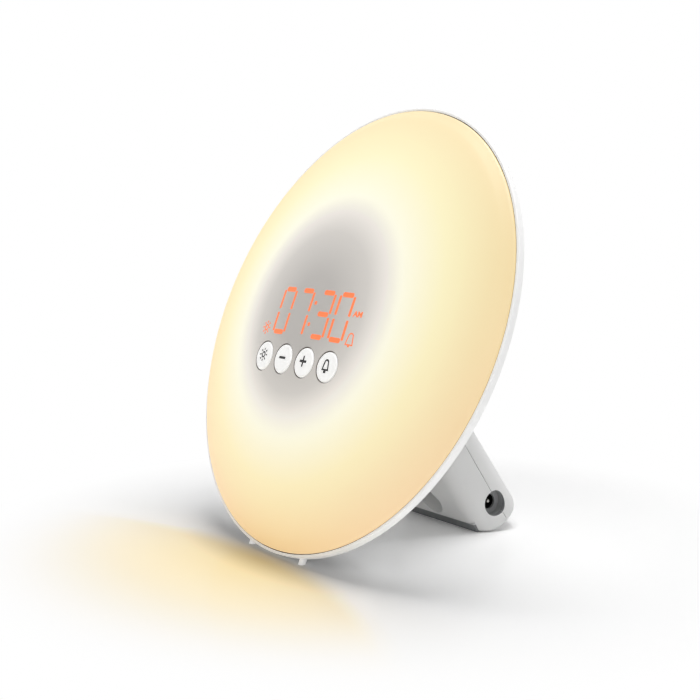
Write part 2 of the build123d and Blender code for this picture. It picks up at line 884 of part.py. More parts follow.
flange_high = mask_bottom - running_gap
button_form = dome_form(-button_proud, -seat_depth)
for name, spot in zip(button_names, button_spots):
    # Cap: a cup that follows the diffuser's curve, with a flange that holds it
    # behind the mask and a stem that presses the switch.
    with BuildPart() as button:
        add(pegs([spot], button_radius, button_bottom, dome_rise + 2 * button_proud))
        add(button_form, mode=Mode.INTERSECT)
        fillet(button.faces().sort_by(face_axis)[-1].edges(), button_edge)
        add(pegs([spot], button_radius + flange_reach, flange_high - flange_thick, flange_high))
        with BuildSketch(face.offset(button_bottom)):
            with Locations(spot):
                Circle(button_radius - button_skirt_wall)
        extrude(amount=button_cavity, mode=Mode.SUBTRACT)
        add(pegs([spot], stem_radius, plunger_top, button_bottom + button_cavity + fit_gap))

    button.part.label = "button_" + name
    export_step(button.part, f"parts/button_{name}.step")

    with BuildPart() as plunger:
        add(pegs([spot], plunger_radius, plunger_bottom, plunger_top))

    plunger.part.label = "plunger_" + name
    export_step(plunger.part, f"parts/plunger_{name}.step")

# ---------------------------------------------------------------- diffuser
# Milky moulded dome with a straight skirt, a snap bead and the button holes.
with BuildPart() as diffuser_dome:
    add(dome_form(0, -seat_depth + fit_gap))
    with BuildSketch(face_section):
        with Locations((skirt_radius, -snap_depth)):
            Ellipse(snap_height, snap_width / 2)
    revolve(axis=face_axis)
    add(dome_form(dome_wall, -seat_depth), mode=Mode.SUBTRACT)
    add(pegs(button_spots, button_hole, 0, dome_rise + button_proud), mode=Mode.SUBTRACT)

diffuser_dome.part.label = "diffuser_dome"
export_step(diffuser_dome.part, "parts/diffuser_dome.step")

# ---------------------------------------------------------------- speaker
# It faces backwards, on a gasket on the housing's ring behind the grille.
speaker_origin = face.from_local_coords((0, speaker_line, 0))
speaker_section = Plane(origin=speaker_origin, x_dir=(1, 0, 0), z_dir=face_section.z_dir)
speaker_axis = Axis(speaker_origin, face.z_dir)
speaker_inner = speaker_radius - speaker_seat_width
frame_base = speaker_seat + gasket_thick
basket_base = frame_base + speaker_flange
basket_top = basket_base + speaker_basket

with BuildPart() as speaker_gasket:
    with BuildSketch(face.offset(speaker_seat)):
        with Locations((0, speaker_line)):
            Circle(speaker_radius)
            Circle(speaker_inner, mode=Mode.SUBTRACT)
    extrude(amount=gasket_thick)

speaker_gasket.part.label = "speaker_gasket"
export_step(speaker_gasket.part, "parts/speaker_gasket.step")

with BuildPart() as speaker_frame:
    with BuildSketch(speaker_section):
        Polygon(
            (speaker_inner, frame_base),
            (speaker_radius, frame_base),
            (speaker_radius, basket_base),
            (speaker_inner + basket_wall, basket_base),
            (basket_back_radius, basket_top),
            (voice_opening, basket_top),
            (voice_opening, basket_top - basket_wall),
            (basket_back_radius - basket_wall, basket_top - basket_wall),
            (speaker_inner, basket_base),
            align=None,
        )
    revolve(axis=speaker_axis)

speaker_frame.part.label = "speaker_frame"
export_step(speaker_frame.part, "parts/speaker_frame.step")

with BuildPart() as speaker_magnet:
    add(pegs([(0, speaker_line)], magnet_radius, basket_top, basket_top + magnet_thick))
    chamfer(speaker_magnet.faces().sort_by(face_axis)[-1].edges(), magnet_thick / 8)

speaker_magnet.part.label = "speaker_magnet"
export_step(speaker_magnet.part, "parts/speaker_magnet.step")

cone_edge = speaker_inner - fit_gap
cone_base = frame_base + fit_gap
cone_top = basket_top - basket_wall - fit_gap
with BuildPart() as speaker_cone:
    with BuildSketch(speaker_section):
        Polygon(
            (cone_edge, cone_base),
            (cone_edge, cone_base + cone_thick),
            (voice_opening, cone_top),
            (0, cone_top - cone_thick),
            (0, cone_top - 2 * cone_thick),
            (voice_opening, cone_top - cone_thick),
            align=None,
        )
    revolve(axis=speaker_axis)

speaker_cone.part.label = "speaker_cone"
export_step(speaker_cone.part, "parts/speaker_cone.step")

# ---------------------------------------------------------------- leg
# Two white moulded shells, screwed together through a pocket in the front one.
mouth = leg_half_width
cup_front = mouth - cup_sink
socket_floor_front = mouth - socket_depth
cup_back = socket_floor_front - socket_floor
socket_hole = socket_radius + cup_side_wall + window_gap
pocket_reach = leg_reach(pad_rise, -leg_front) + pocket_rise
pocket_base = pocket_depth - leg_front
boss_base = pocket_base + pocket_floor
leg_head_plane = face.offset(-back_depth - leg_head)

with BuildPart() as leg_cavity:
    add(leg_form(leg_wall))
    split(bisect_by=leg_head_plane, keep=Keep.BOTTOM)

with BuildPart() as pad_backing:
    add(pad_form(pad_bed, 0, pad_half_width + pad_bed))
    add(leg_outer, mode=Mode.INTERSECT)

with BuildPart() as pocket_cup:
    add(leg_peg(pocket_radius + pocket_wall, pocket_reach, -leg_front, boss_base))
    add(leg_outer, mode=Mode.INTERSECT)

with BuildPart() as seam_boss:
    add(leg_peg(seam_boss_radius, pocket_reach, boss_base + fit_gap, leg_bulge))
    add(leg_outer, mode=Mode.INTERSECT)

with BuildPart() as leg_front_shell:
    add(leg_outer)
    add(leg_cavity.part, mode=Mode.SUBTRACT)
    split(bisect_by=seam.offset(-seam_gap / 2), keep=Keep.BOTTOM)
    add(pad_backing.part)
    add(pocket_cup.part)
    split(bisect_by=seam.offset(-seam_gap / 2), keep=Keep.BOTTOM)
    add(pad_form(window_gap, leg_wall, pad_half_width + window_gap), mode=Mode.SUBTRACT)
    add(leg_peg(pocket_radius, pocket_reach, -leg_front - leg_wall, pocket_base), mode=Mode.SUBTRACT)
    add(leg_peg(seam_screw_hole, pocket_reach, pocket_base, boss_base), mode=Mode.SUBTRACT)
    add(side_peg(socket_hole, cup_back, cup_front + window_gap), mode=Mode.SUBTRACT)
    add(side_peg(socket_radius, cup_front, mouth + leg_wall), mode=Mode.SUBTRACT)
    add(housing_clearance, mode=Mode.SUBTRACT)
    add(pegs(leg_screw_spots, pilot, leg_screw_seat - leg_screw_length, 0), mode=Mode.SUBTRACT)
    add(pegs([(0, wire_hole_line)], wire_hole_radius, -back_depth - 2 * leg_head, 0), mode=Mode.SUBTRACT)

leg_front_shell.part.label = "leg_front_shell"
export_step(leg_front_shell.part, "parts/leg_front_shell.step")

with BuildPart() as leg_rear_shell:
    add(leg_outer)
    add(leg_cavity.part, mode=Mode.SUBTRACT)
    split(bisect_by=seam.offset(seam_gap / 2), keep=Keep.TOP)
    add(seam_boss.part)
    add(leg_peg(pilot, pocket_reach, boss_base, pocket_base + seam_screw_length), mode=Mode.SUBTRACT)
    add(side_peg(socket_hole, cup_back, cup_front + window_gap), mode=Mode.SUBTRACT)
    add(side_peg(socket_radius, cup_front, mouth + leg_wall), mode=Mode.SUBTRACT)
    add(housing_clearance, mode=Mode.SUBTRACT)
    add(pegs(leg_screw_spots, pilot, leg_screw_seat - leg_screw_length, 0), mode=Mode.SUBTRACT)
    add(pegs([(0, wire_hole_line)], wire_hole_radius, -back_depth - 2 * leg_head, 0), mode=Mode.SUBTRACT)

leg_rear_shell.part.label = "leg_rear_shell"
export_step(leg_rear_shell.part, "parts/leg_rear_shell.step")

with BuildPart() as leg_seam_screw:
    add(leg_peg(screw_head_radius, pocket_reach, pocket_base - screw_head_height, pocket_base))
    fillet(leg_seam_screw.faces().sort_by(Axis(seam_point, leg_back))[0].edges(), screw_head_height / 3)
    add(leg_peg(screw_radius, pocket_reach, pocket_base, pocket_base + seam_screw_length))

leg_seam_screw.part.label = "leg_seam_screw"
export_step(leg_seam_screw.part, "parts/leg_seam_screw.step")

with BuildPart() as leg_mount_screws:
    add(screws(leg_screw_spots, screw_radius, screw_head_radius, leg_screw_seat, leg_screw_length))

leg_mount_screws.part.label = "leg_mount_screws"
export_step(leg_mount_screws.part, "parts/leg_mount_screws.step")

# Rubber pad in the leg's front edge
with BuildPart() as leg_foot_pad:
    add(pad_form(0, 0, pad_half_width))

leg_foot_pad.part.label = "leg_foot_pad"
export_step(leg_foot_pad.part, "parts/leg_foot_pad.step")

# ---------------------------------------------------------------- power socket
# Recess for the plug: a cup held in the seam of the leg, behind a round hole of
# its own radius in the leg's side.
with BuildPart() as socket_cup:
    add(side_peg(socket_radius + cup_side_wall, cup_back, cup_front))
    add(side_peg(socket_radius, socket_floor_front, cup_front), mode=Mode.SUBTRACT)
    add(side_peg(socket_opening, cup_back, socket_floor_front), mode=Mode.SUBTRACT)

socket_cup.part.label = "socket_cup"
export_step(socket_cup.part, "parts/socket_cup.step")

jack_back = cup_back - jack_length
with BuildPart() as power_jack:
    with BuildSketch(Plane.YZ.offset(jack_back)):
        with Locations(leg_spot(0, -socket_ahead)):
            Rectangle(jack_block, jack_block, rotation=-leg_slope)
    extrude(amount=jack_length)
    add(side_peg(jack_bore, cup_back - jack_bore_depth, cup_back), mode=Mode.SUBTRACT)

power_jack.part.label = "power_jack"
export_step(power_jack.part, "parts/power_jack.step")

with BuildPart() as jack_pin:
    add(side_peg(pin_radius, cup_back - jack_bore_depth, socket_floor_front - pin_sink))
    fillet(jack_pin.faces().sort_by(Axis.X)[-1].edges(), pin_radius / 2)

jack_pin.part.label = "jack_pin"
export_step(jack_pin.part, "parts/jack_pin.step")

# Solder tabs behind the jack
tab_spots = [leg_spot(0, side * tab_spread / 2 - socket_ahead) for side in (-1, 1)]
with BuildPart() as jack_tabs:
    with BuildSketch(Plane.YZ.offset(jack_back)):
        with Locations(*tab_spots):
            Rectangle(tab_thick, tab_width, rotation=-leg_slope)
    extrude(amount=-tab_length)

jack_tabs.part.label = "jack_tabs"
export_step(jack_tabs.part, "parts/jack_tabs.step")


def wire(points, radius, bends):
    """Round wire along straight runs joined by tangent arcs."""
    with BuildPart() as form:
        with BuildLine() as route:
            FilletPolyline(*points, radius=bends)
        with BuildSketch(Plane(origin=route.line @ 0, z_dir=route.line % 0)):
            Circle(radius)
        sweep()
    return form.part


# Two power wires: from the jack's tabs past the seam's boss, up the leg and
# through the wire hole to the plug behind the main board
plug_level = main_board_back - connector_height
hole_level = -back_depth - leg_head - wire_entry
for name, side, tab in zip(("positive", "negative"), (-1, 1), tab_spots):
    across = side * lead_gap / 2
    power_route = (
        (jack_back - tab_length, *tab),
        (wire_side, *tab),
        face.from_local_coords((across, wire_hole_line, hole_level)),
        face.from_local_coords((across, wire_hole_line, plug_level)),
    )
    with BuildPart() as power_lead:
        add(wire(power_route, wire_radius, (wire_bend, wire_entry)))

    power_lead.part.label = "power_lead_" + name
    export_step(power_lead.part, f"parts/power_lead_{name}.step")

# Leads from the light ring's board to the main board's lower edge
main_board_foot = main_board_line - main_board_height / 2 + board_edge_inset
with BuildPart() as light_leads:
    for side in (-1, 1):
        light_route = [
            face.from_local_coords((side * lead_gap / 2, line, level))
            for line, level in (
                (light_lead_line, ring_board_back),
                (light_lead_line, light_lead_level),
                (main_board_foot, light_lead_level),
                (main_board_foot, main_board_back),
            )
        ]
        add(wire(light_route, lead_radius, (lead_bend, lead_bend)))

light_leads.part.label = "light_leads"
export_step(light_leads.part, "parts/light_leads.step")

# Leads from the speaker's flange to the main board's upper edge
main_board_head = main_board_line + main_board_height / 2 - board_edge_inset
flange_middle = speaker_radius - lead_radius - fit_gap
with BuildPart() as speaker_leads:
    for side in (-1, 1):
        across = speaker_lead_spread + side * lead_gap / 2
        flange_line = speaker_line - sqrt(flange_middle ** 2 - across ** 2)
        speaker_route = [
            face.from_local_coords((across, line, level))
            for line, level in (
                (flange_line, basket_base),
                (flange_line, speaker_lead_level),
                (main_board_head, speaker_lead_level),
                (main_board_head, main_board_top),
            )
        ]
        add(wire(speaker_route, lead_radius, (lead_bend, lead_bend)))

speaker_leads.part.label = "speaker_leads"
export_step(speaker_leads.part, "parts/speaker_leads.step")
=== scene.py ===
from math import pi, radians

import bmesh
import bpy
from mathutils import Euler, Matrix, Vector
from mathutils.bvhtree import BVHTree


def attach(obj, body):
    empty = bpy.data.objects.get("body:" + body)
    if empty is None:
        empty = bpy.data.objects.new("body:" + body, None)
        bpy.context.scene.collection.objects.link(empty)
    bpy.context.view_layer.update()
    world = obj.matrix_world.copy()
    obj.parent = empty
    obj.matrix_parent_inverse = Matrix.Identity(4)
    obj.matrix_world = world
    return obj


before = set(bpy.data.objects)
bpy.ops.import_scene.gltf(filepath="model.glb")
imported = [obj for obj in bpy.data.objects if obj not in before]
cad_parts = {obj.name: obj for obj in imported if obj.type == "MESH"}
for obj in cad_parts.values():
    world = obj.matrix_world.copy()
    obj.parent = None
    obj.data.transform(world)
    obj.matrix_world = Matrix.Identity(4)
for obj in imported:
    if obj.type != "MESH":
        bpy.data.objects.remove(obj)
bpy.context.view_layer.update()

# ------------------------------------------------------------------ camera
# A long lens a little above the lamp's middle and to the right of its face,
# so that the leaning round face reads as an oval with the leg behind it.
scene = bpy.context.scene
camera = bpy.data.objects.new("camera", bpy.data.cameras.new("camera"))
camera.location = (0.377352, -0.289353, 0.129082)
camera.rotation_mode = "QUATERNION"
camera.rotation_quaternion = Vector((-0.80575, 0.58068, -0.11653)).to_track_quat("-Z", "Y")
camera.data.sensor_width = 36.0
camera.data.lens = 62.635
camera.data.clip_start = 0.01
scene.collection.objects.link(camera)
scene.camera = camera
scene.view_settings.view_transform = "Standard"


# ------------------------------------------------------------------- table
# A plain white table top with a soft shine. Under the front of the lamp a painted
# pool of the glowing face's warm light, with one crisp edge, colours it.
def linear(code):
    """The linear colour of an sRGB hex value."""
    values = [int(code[start:start + 2], 16) / 255 for start in (0, 2, 4)]
    return (*(v / 12.92 if v <= 0.04045 else ((v + 0.055) / 1.055) ** 2.4 for v in values), 1.0)


def add(tree, kind, settings=None, inputs=None):
    """A node of that kind in the tree, with its settings, values and links."""
    made = tree.nodes.new(kind)
    for name, value in (settings or {}).items():
        setattr(made, name, value)
    for key, value in (inputs or {}).items():
        if isinstance(value, bpy.types.NodeSocket):
            tree.links.new(value, made.inputs[key])
        else:
            made.inputs[key].default_value = value
    return made


def place(mesh, name, finish):
    """A mesh becomes a shown object in this finish."""
    mesh.materials.append(finish)
    piece = bpy.data.objects.new(name, mesh)
    scene.collection.objects.link(piece)
    return piece


def seen_by_eye(tree):
    """1 on rays that reach the eye straight, in a reflection or through glass."""
    path = add(tree, "ShaderNodeLightPath").outputs
    seen = add(tree, "ShaderNodeMath", {"operation": "MAXIMUM"},
               {0: path["Is Camera Ray"], 1: path["Is Glossy Ray"]}).outputs[0]
    return add(tree, "ShaderNodeMath", {"operation": "MAXIMUM"},
               {0: seen, 1: path["Is Transmission Ray"]}).outputs[0]


pool_across = 0.005
table_top = bpy.data.materials.new("white_table_top")
table_top.use_nodes = True
tree = table_top.node_tree
tree.nodes.clear()
spot = add(tree, "ShaderNodeTexCoord").outputs["Object"]
# Distance from the middle of the pool, 1 at its outer edge
oval = add(tree, "ShaderNodeMapping", {"vector_type": "TEXTURE"},
           {0: spot, "Location": (pool_across, -0.0586, 0), "Scale": (0.125, 0.098, 1)}).outputs[0]
reach = add(tree, "ShaderNodeVectorMath", {"operation": "LENGTH"}, {0: oval}).outputs["Value"]
fade = add(tree, "ShaderNodeMath", {"operation": "POWER"}, {0: reach, 1: 1.3}).outputs[0]
glow = add(tree, "ShaderNodeMath", {"operation": "SUBTRACT", "use_clamp": True},
           {0: 1.0, 1: fade}).outputs[0]
# The crisp edge bends away at both sides, as the rim's own outline does
apart = add(tree, "ShaderNodeSeparateXYZ", inputs={0: spot})
aside = add(tree, "ShaderNodeMath", {"operation": "SUBTRACT"},
            {0: apart.outputs["X"], 1: pool_across}).outputs[0]
square = add(tree, "ShaderNodeMath", {"operation": "MULTIPLY"}, {0: aside, 1: aside}).outputs[0]
bow = add(tree, "ShaderNodeMath", {"operation": "MULTIPLY_ADD"},
          {0: square, 1: 2.4, 2: apart.outputs["Y"]}).outputs[0]
edge = add(tree, "ShaderNodeMapRange", {"interpolation_type": "SMOOTHSTEP"},
           {"Value": bow, "From Min": -0.0486, "From Max": -0.0626}).outputs[0]
# The painted pool of warm light, mixed into the table's colour
painted_pool = add(tree, "ShaderNodeMath", {"operation": "MULTIPLY"}, {0: glow, 1: edge}).outputs[0]
colour = add(tree, "ShaderNodeMix", {"data_type": "RGBA"},
             {0: painted_pool, 6: (1, 1, 1, 1), 7: linear("F6E4B4")}).outputs[2]
# The lamps stay low, so to the eye the table's white is lifted instead
seen = seen_by_eye(tree)
gain = add(tree, "ShaderNodeMapRange", inputs={"Value": seen, "To Min": 1.0, "To Max": 1.16}).outputs[0]
# Close under the rim a painted shadow darkens the table, deepest at the rim
painted_shadow_reach = add(tree, "ShaderNodeMapping", {"vector_type": "TEXTURE"},
            {0: spot, "Location": (0, -0.052, 0), "Scale": (0.070, 0.024, 1)}).outputs[0]
painted_shadow_reach = add(tree, "ShaderNodeVectorMath", {"operation": "LENGTH"}, {0: painted_shadow_reach}).outputs["Value"]
shade = add(tree, "ShaderNodeMapRange", {"interpolation_type": "SMOOTHSTEP"},
            {"Value": painted_shadow_reach, "From Min": 0.2, "From Max": 1.0, "To Min": 0.55, "To Max": 1.0}).outputs[0]
gain = add(tree, "ShaderNodeMath", {"operation": "MULTIPLY"}, {0: gain, 1: shade}).outputs[0]
lifted = add(tree, "ShaderNodeVectorMath", {"operation": "SCALE"}, {0: colour, "Scale": gain}).outputs[0]
matt = add(tree, "ShaderNodeBsdfDiffuse", inputs={"Color": lifted}).outputs[0]
shine = add(tree, "ShaderNodeBsdfGlossy", inputs={"Color": (1, 1, 1, 1), "Roughness": 0.12}).outputs[0]
near = add(tree, "ShaderNodeMixShader", inputs={0: 0.05, 1: matt, 2: shine}).outputs[0]
# From 0.10 m off, past the shadows, it runs into plain white
away = add(tree, "ShaderNodeVectorMath", {"operation": "LENGTH"}, {0: spot}).outputs["Value"]
far = add(tree, "ShaderNodeMapRange", {"interpolation_type": "SMOOTHSTEP"},
          {"Value": away, "From Min": 0.10, "From Max": 0.17}).outputs[0]
blank = add(tree, "ShaderNodeMath", {"operation": "MULTIPLY"}, {0: seen, 1: far}).outputs[0]
white = add(tree, "ShaderNodeEmission", inputs={"Color": (1, 1, 1, 1), "Strength": 1.0}).outputs[0]
mixed = add(tree, "ShaderNodeMixShader", inputs={0: blank, 1: near, 2: white}).outputs[0]
add(tree, "ShaderNodeOutputMaterial", inputs={"Surface": mixed})

top = bmesh.new()
bmesh.ops.create_grid(top, x_segments=2, y_segments=2, size=6.0)
mesh = bpy.data.meshes.new("table_top")
top.to_mesh(mesh)
top.free()
place(mesh, "table_top", table_top)

# ------------------------------------------------------------------ lights
# Soft studio light: a dim white room, a large soft box overhead that throws
# the shadow under the lamp, one in front for the rim, a weak one at the side.
room = bpy.data.worlds.new("white_room")
room.use_nodes = True
scene.world = room
tree = room.node_tree
tree.nodes.clear()
seen = seen_by_eye(tree)
level = add(tree, "ShaderNodeMapRange", inputs={"Value": seen, "To Min": 0.15, "To Max": 1.0}).outputs[0]
walls = add(tree, "ShaderNodeBackground", inputs={"Color": (1, 1, 1, 1), "Strength": level}).outputs[0]
add(tree, "ShaderNodeOutputWorld", inputs={"Surface": walls})

for name, spot, aim, size, power in (
    ("top_softbox", (0.0, 0.15, 0.95), (0.0, 0.0, 0.0), 0.6, 5.6),
    ("front_softbox", (0.55, -0.85, 0.60), (0.0, 0.0, 0.08), 0.5, 1.8),
    ("side_softbox", (0.95, 0.0, 0.60), (0.0, 0.0, 0.10), 0.5, 0.9),
):
    lamp = bpy.data.objects.new(name, bpy.data.lights.new(name, "AREA"))
    lamp.data.shape = "SQUARE"
    lamp.data.size = size
    lamp.data.energy = power
    lamp.location = spot
    lamp.rotation_mode = "QUATERNION"
    lamp.rotation_quaternion = (Vector(aim) - Vector(spot)).to_track_quat("-Z", "Y")
    scene.collection.objects.link(lamp)


# ------------------------------------------------------------ rear housing
# The dish behind the face and its two feet are moulded in white ABS with a
# satin face, smooth but breaking a highlight into a soft sheen.
def start(name, **values):
    """A new finish with its tree and its shader, set to these values."""
    finish = bpy.data.materials.new(name)
    finish.use_nodes = True
    shader = finish.node_tree.nodes["Principled BSDF"]
    for key, value in values.items():
        shader.inputs[key.replace("_", " ")].default_value = value
    return finish, finish.node_tree, shader


def dress(finish, *names):
    """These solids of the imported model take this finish."""
    for name in names:
        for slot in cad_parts[name].material_slots:
            slot.material = finish


# The face leans back 22 degrees. Its middle is that of the circle on which the
# dome's curve ends
face_lean = radians(22.0)
face_middle = Vector((0, -0.021032, 0.084307))
face_turn = Euler((pi / 2 - face_lean, 0, 0))


def face_place(tree, spot, unit=1.0):
    """The same place measured across, up and out of the leaning face."""
    return add(tree, "ShaderNodeMapping", {"vector_type": "TEXTURE"},
               {0: spot, "Location": face_middle, "Rotation": face_turn,
                "Scale": (unit, unit, unit)}).outputs[0]


def face_radius(tree, on_face):
    """How far from the middle of the face a place on it lies."""
    flat = add(tree, "ShaderNodeVectorMath", {"operation": "MULTIPLY"},
               {0: on_face, 1: (1, 1, 0)}).outputs[0]
    return add(tree, "ShaderNodeVectorMath", {"operation": "LENGTH"}, {0: flat}).outputs["Value"]


white_abs, tree, shader = start("satin_white_abs", IOR=1.53, Roughness=0.34)
spot = add(tree, "ShaderNodeTexCoord").outputs["Object"]
# Melt flow gives the white a cloud of about 45 mm that the eye hardly sees
flow = add(tree, "ShaderNodeTexNoise", inputs={"Vector": spot, "Scale": 22.0, "Detail": 2.0}).outputs[0]
colour = add(tree, "ShaderNodeMix", {"data_type": "RGBA"},
             {0: flow, 6: linear("F1F1F0"), 7: linear("F8F8F7")}).outputs[2]
tree.links.new(colour, shader.inputs["Base Color"])
# Spark-eroded grain of 0.4 mm, drawn at 0.9 mm so that it shows
grain = add(tree, "ShaderNodeTexNoise", inputs={"Vector": spot, "Scale": 1100.0, "Detail": 2.0}).outputs[0]
bump = add(tree, "ShaderNodeBump", inputs={"Height": grain, "Strength": 0.25, "Distance": 0.00002})
tree.links.new(bump.outputs[0], shader.inputs["Normal"])
# The leg's shells take the finish as it is here, without the rim's painted glow
leg_abs = white_abs.copy()
on_face = face_place(tree, spot)
radius = face_radius(tree, on_face)
# A painted glow brightens the rim beside the dome's edge and all that lies
# further out from the face's middle
painted_rim_glow = add(tree, "ShaderNodeMapRange",
              inputs={"Value": radius, "From Min": 0.0870, "From Max": 0.0890, "To Max": 0.24}).outputs[0]
tree.links.new(painted_rim_glow, shader.inputs["Emission Strength"])
dress(white_abs, "rear_housing", "front_feet")

# ------------------------------------------------------------- light ring
# A moulded white reflector with a cup round the display, behind it a ring
# board with 24 diodes that shine through its windows, held by four screws.
reflector, tree, shader = start("matt_white_polycarbonate", IOR=1.58, Roughness=0.6)
spot = add(tree, "ShaderNodeTexCoord").outputs["Object"]
# Titanium white dulls a little where the resin cooled last
cloud = add(tree, "ShaderNodeTexNoise", inputs={"Vector": spot, "Scale": 60.0, "Detail": 3.0}).outputs[0]
colour = add(tree, "ShaderNodeMix", {"data_type": "RGBA"},
             {0: cloud, 6: linear("F0F0EC"), 7: linear("FAFAF7")}).outputs[2]
tree.links.new(colour, shader.inputs["Base Color"])
dress(reflector, "light_reflector")

ring_board, tree, shader = start("white_solder_mask", IOR=1.5, Roughness=0.38)
spot = add(tree, "ShaderNodeTexCoord").outputs["Object"]
on_face = face_place(tree, spot)
radius = face_radius(tree, on_face)
# Three round tracks stand out under the mask, 3.4 mm apart
track = add(tree, "ShaderNodeMath", {"operation": "PINGPONG"}, {0: radius, 1: 0.0017}).outputs[0]
track = add(tree, "ShaderNodeMapRange", {"interpolation_type": "SMOOTHSTEP"},
            {"Value": track, "From Min": 0.0004, "From Max": 0.0006}).outputs[0]
colour = add(tree, "ShaderNodeMix", {"data_type": "RGBA"},
             {0: track, 6: linear("E2E4DB"), 7: linear("F3F4EF")}).outputs[2]
tree.links.new(colour, shader.inputs["Base Color"])
bump = add(tree, "ShaderNodeBump", {"invert": True},
           {"Height": track, "Strength": 0.5, "Distance": 0.00005})
tree.links.new(bump.outputs[0], shader.inputs["Normal"])
dress(ring_board, "light_board")

diode, tree, shader = start("phosphor_in_white_ceramic", IOR=1.5, Roughness=0.3)
spot = add(tree, "ShaderNodeTexCoord").outputs["Object"]
on_face = face_place(tree, spot)
apart = add(tree, "ShaderNodeSeparateXYZ", inputs={0: on_face}).outputs
radius = face_radius(tree, on_face)
angle = add(tree, "ShaderNodeMath", {"operation": "ARCTAN2"}, {0: apart["Y"], 1: apart["X"]}).outputs[0]
# The way round is folded at each of the 24 packages, which stand in a circle
diode_circle = 0.0545
fold = add(tree, "ShaderNodeMath", {"operation": "PINGPONG"}, {0: angle, 1: pi / 24}).outputs[0]
round_way = add(tree, "ShaderNodeMath", {"operation": "MULTIPLY"}, {0: fold, 1: diode_circle}).outputs[0]
out_way = add(tree, "ShaderNodeMath", {"operation": "SUBTRACT"}, {0: radius, 1: diode_circle}).outputs[0]
here = add(tree, "ShaderNodeCombineXYZ", inputs={0: round_way, 1: out_way}).outputs[0]
off = add(tree, "ShaderNodeVectorMath", {"operation": "LENGTH"}, {0: here}).outputs["Value"]
lens = add(tree, "ShaderNodeMapRange", {"interpolation_type": "SMOOTHSTEP"},
           {"Value": off, "From Min": 0.00140, "From Max": 0.00125}).outputs[0]
colour = add(tree, "ShaderNodeMix", {"data_type": "RGBA"},
             {0: lens, 6: linear("F2F1EB"), 7: linear("F1CE4E")}).outputs[2]
tree.links.new(colour, shader.inputs["Base Color"])
dress(diode, "light_diodes")

# ------------------------------------------------------------------ screws
# Thread-forming steel screws with a bright zinc coat, the same on the ring,
# the boards, the mask and the leg.
zinc, tree, shader = start("zinc_plated_steel", Metallic=1.0)
spot = add(tree, "ShaderNodeTexCoord").outputs["Object"]
# Spangle of the coat, 0.6 mm across
spangle = add(tree, "ShaderNodeTexVoronoi", inputs={"Vector": spot, "Scale": 1600.0})
colour = add(tree, "ShaderNodeMix", {"data_type": "RGBA"},
             {0: spangle.outputs["Distance"], 6: linear("BFC2C4"), 7: linear("D3D5D6")}).outputs[2]
tree.links.new(colour, shader.inputs["Base Color"])
dull = add(tree, "ShaderNodeMapRange",
           inputs={"Value": spangle.outputs["Distance"], "To Min": 0.26, "To Max": 0.42}).outputs[0]
tree.links.new(dull, shader.inputs["Roughness"])
dress(zinc, "reflector_screws", "main_board_screws", "display_screws", "leg_seam_screw", "leg_mount_screws")

# ------------------------------------------------------------------ boards
# Main board and display board: glass epoxy under a green solder mask, in
# which the copper tracks stand out as lighter lines.
green, tree, shader = start("green_solder_mask", IOR=1.5, Roughness=0.3)
spot = add(tree, "ShaderNodeTexCoord").outputs["Object"]
on_face = face_place(tree, spot)
# Tracks 0.4 mm wide at a pitch of 1.27 mm, joined across every 7.5 mm
tracks = add(tree, "ShaderNodeTexBrick", {"offset": 0.37, "squash": 1.0},
             {"Vector": on_face, "Color1": linear("175432"), "Color2": linear("1C6139"),
              "Mortar": linear("2F8A54"), "Scale": 1.0, "Mortar Size": 0.0002,
              "Mortar Smooth": 0.3, "Brick Width": 0.0075, "Row Height": 0.00127}).outputs
tree.links.new(tracks["Color"], shader.inputs["Base Color"])
bump = add(tree, "ShaderNodeBump", inputs={"Height": tracks["Fac"], "Strength": 0.5, "Distance": 0.00004})
tree.links.new(bump.outputs[0], shader.inputs["Normal"])
dress(green, "main_board", "display_board")

# ------------------------------------------------------- parts on the board
# Controller chip in black epoxy, two aluminium capacitors, and the back-up
# coin cell of nickel-plated steel in its glass-filled holder.
epoxy, tree, shader = start("black_moulding_epoxy", IOR=1.55, Roughness=0.55)
spot = add(tree, "ShaderNodeTexCoord").outputs["Object"]
# Silica filler shows as a fine grey speckle
filler = add(tree, "ShaderNodeTexNoise", inputs={"Vector": spot, "Scale": 2600.0, "Detail": 3.0}).outputs[0]
colour = add(tree, "ShaderNodeMix", {"data_type": "RGBA"},
             {0: filler, 6: linear("141415"), 7: linear("303032")}).outputs[2]
tree.links.new(colour, shader.inputs["Base Color"])
dress(epoxy, "main_chip")

can, tree, shader = start("aluminium_can_in_sleeve", Metallic=1.0, Roughness=0.35)
spot = add(tree, "ShaderNodeTexCoord").outputs["Object"]
on_face = face_place(tree, spot)
apart = add(tree, "ShaderNodeSeparateXYZ", inputs={0: on_face}).outputs
# The dark sleeve ends 0.5 mm under the bare top of the can
bare = add(tree, "ShaderNodeMapRange",
           inputs={"Value": apart["Z"], "From Min": 0.00040, "From Max": 0.00060}).outputs[0]
# Drawing the can leaves it a little uneven, in patches of about 1 mm
drawn = add(tree, "ShaderNodeTexNoise", inputs={"Vector": spot, "Scale": 900.0, "Detail": 2.0}).outputs[0]
metal = add(tree, "ShaderNodeMix", {"data_type": "RGBA"},
            {0: drawn, 6: linear("BDBFC2"), 7: linear("D2D3D5")}).outputs[2]
colour = add(tree, "ShaderNodeMix", {"data_type": "RGBA"},
             {0: bare, 6: linear("24282F"), 7: metal}).outputs[2]
tree.links.new(colour, shader.inputs["Base Color"])
tree.links.new(bare, shader.inputs["Metallic"])
dress(can, "capacitors")

nylon_black, tree, shader = start("glass_filled_black_nylon", IOR=1.53)
spot = add(tree, "ShaderNodeTexCoord").outputs["Object"]
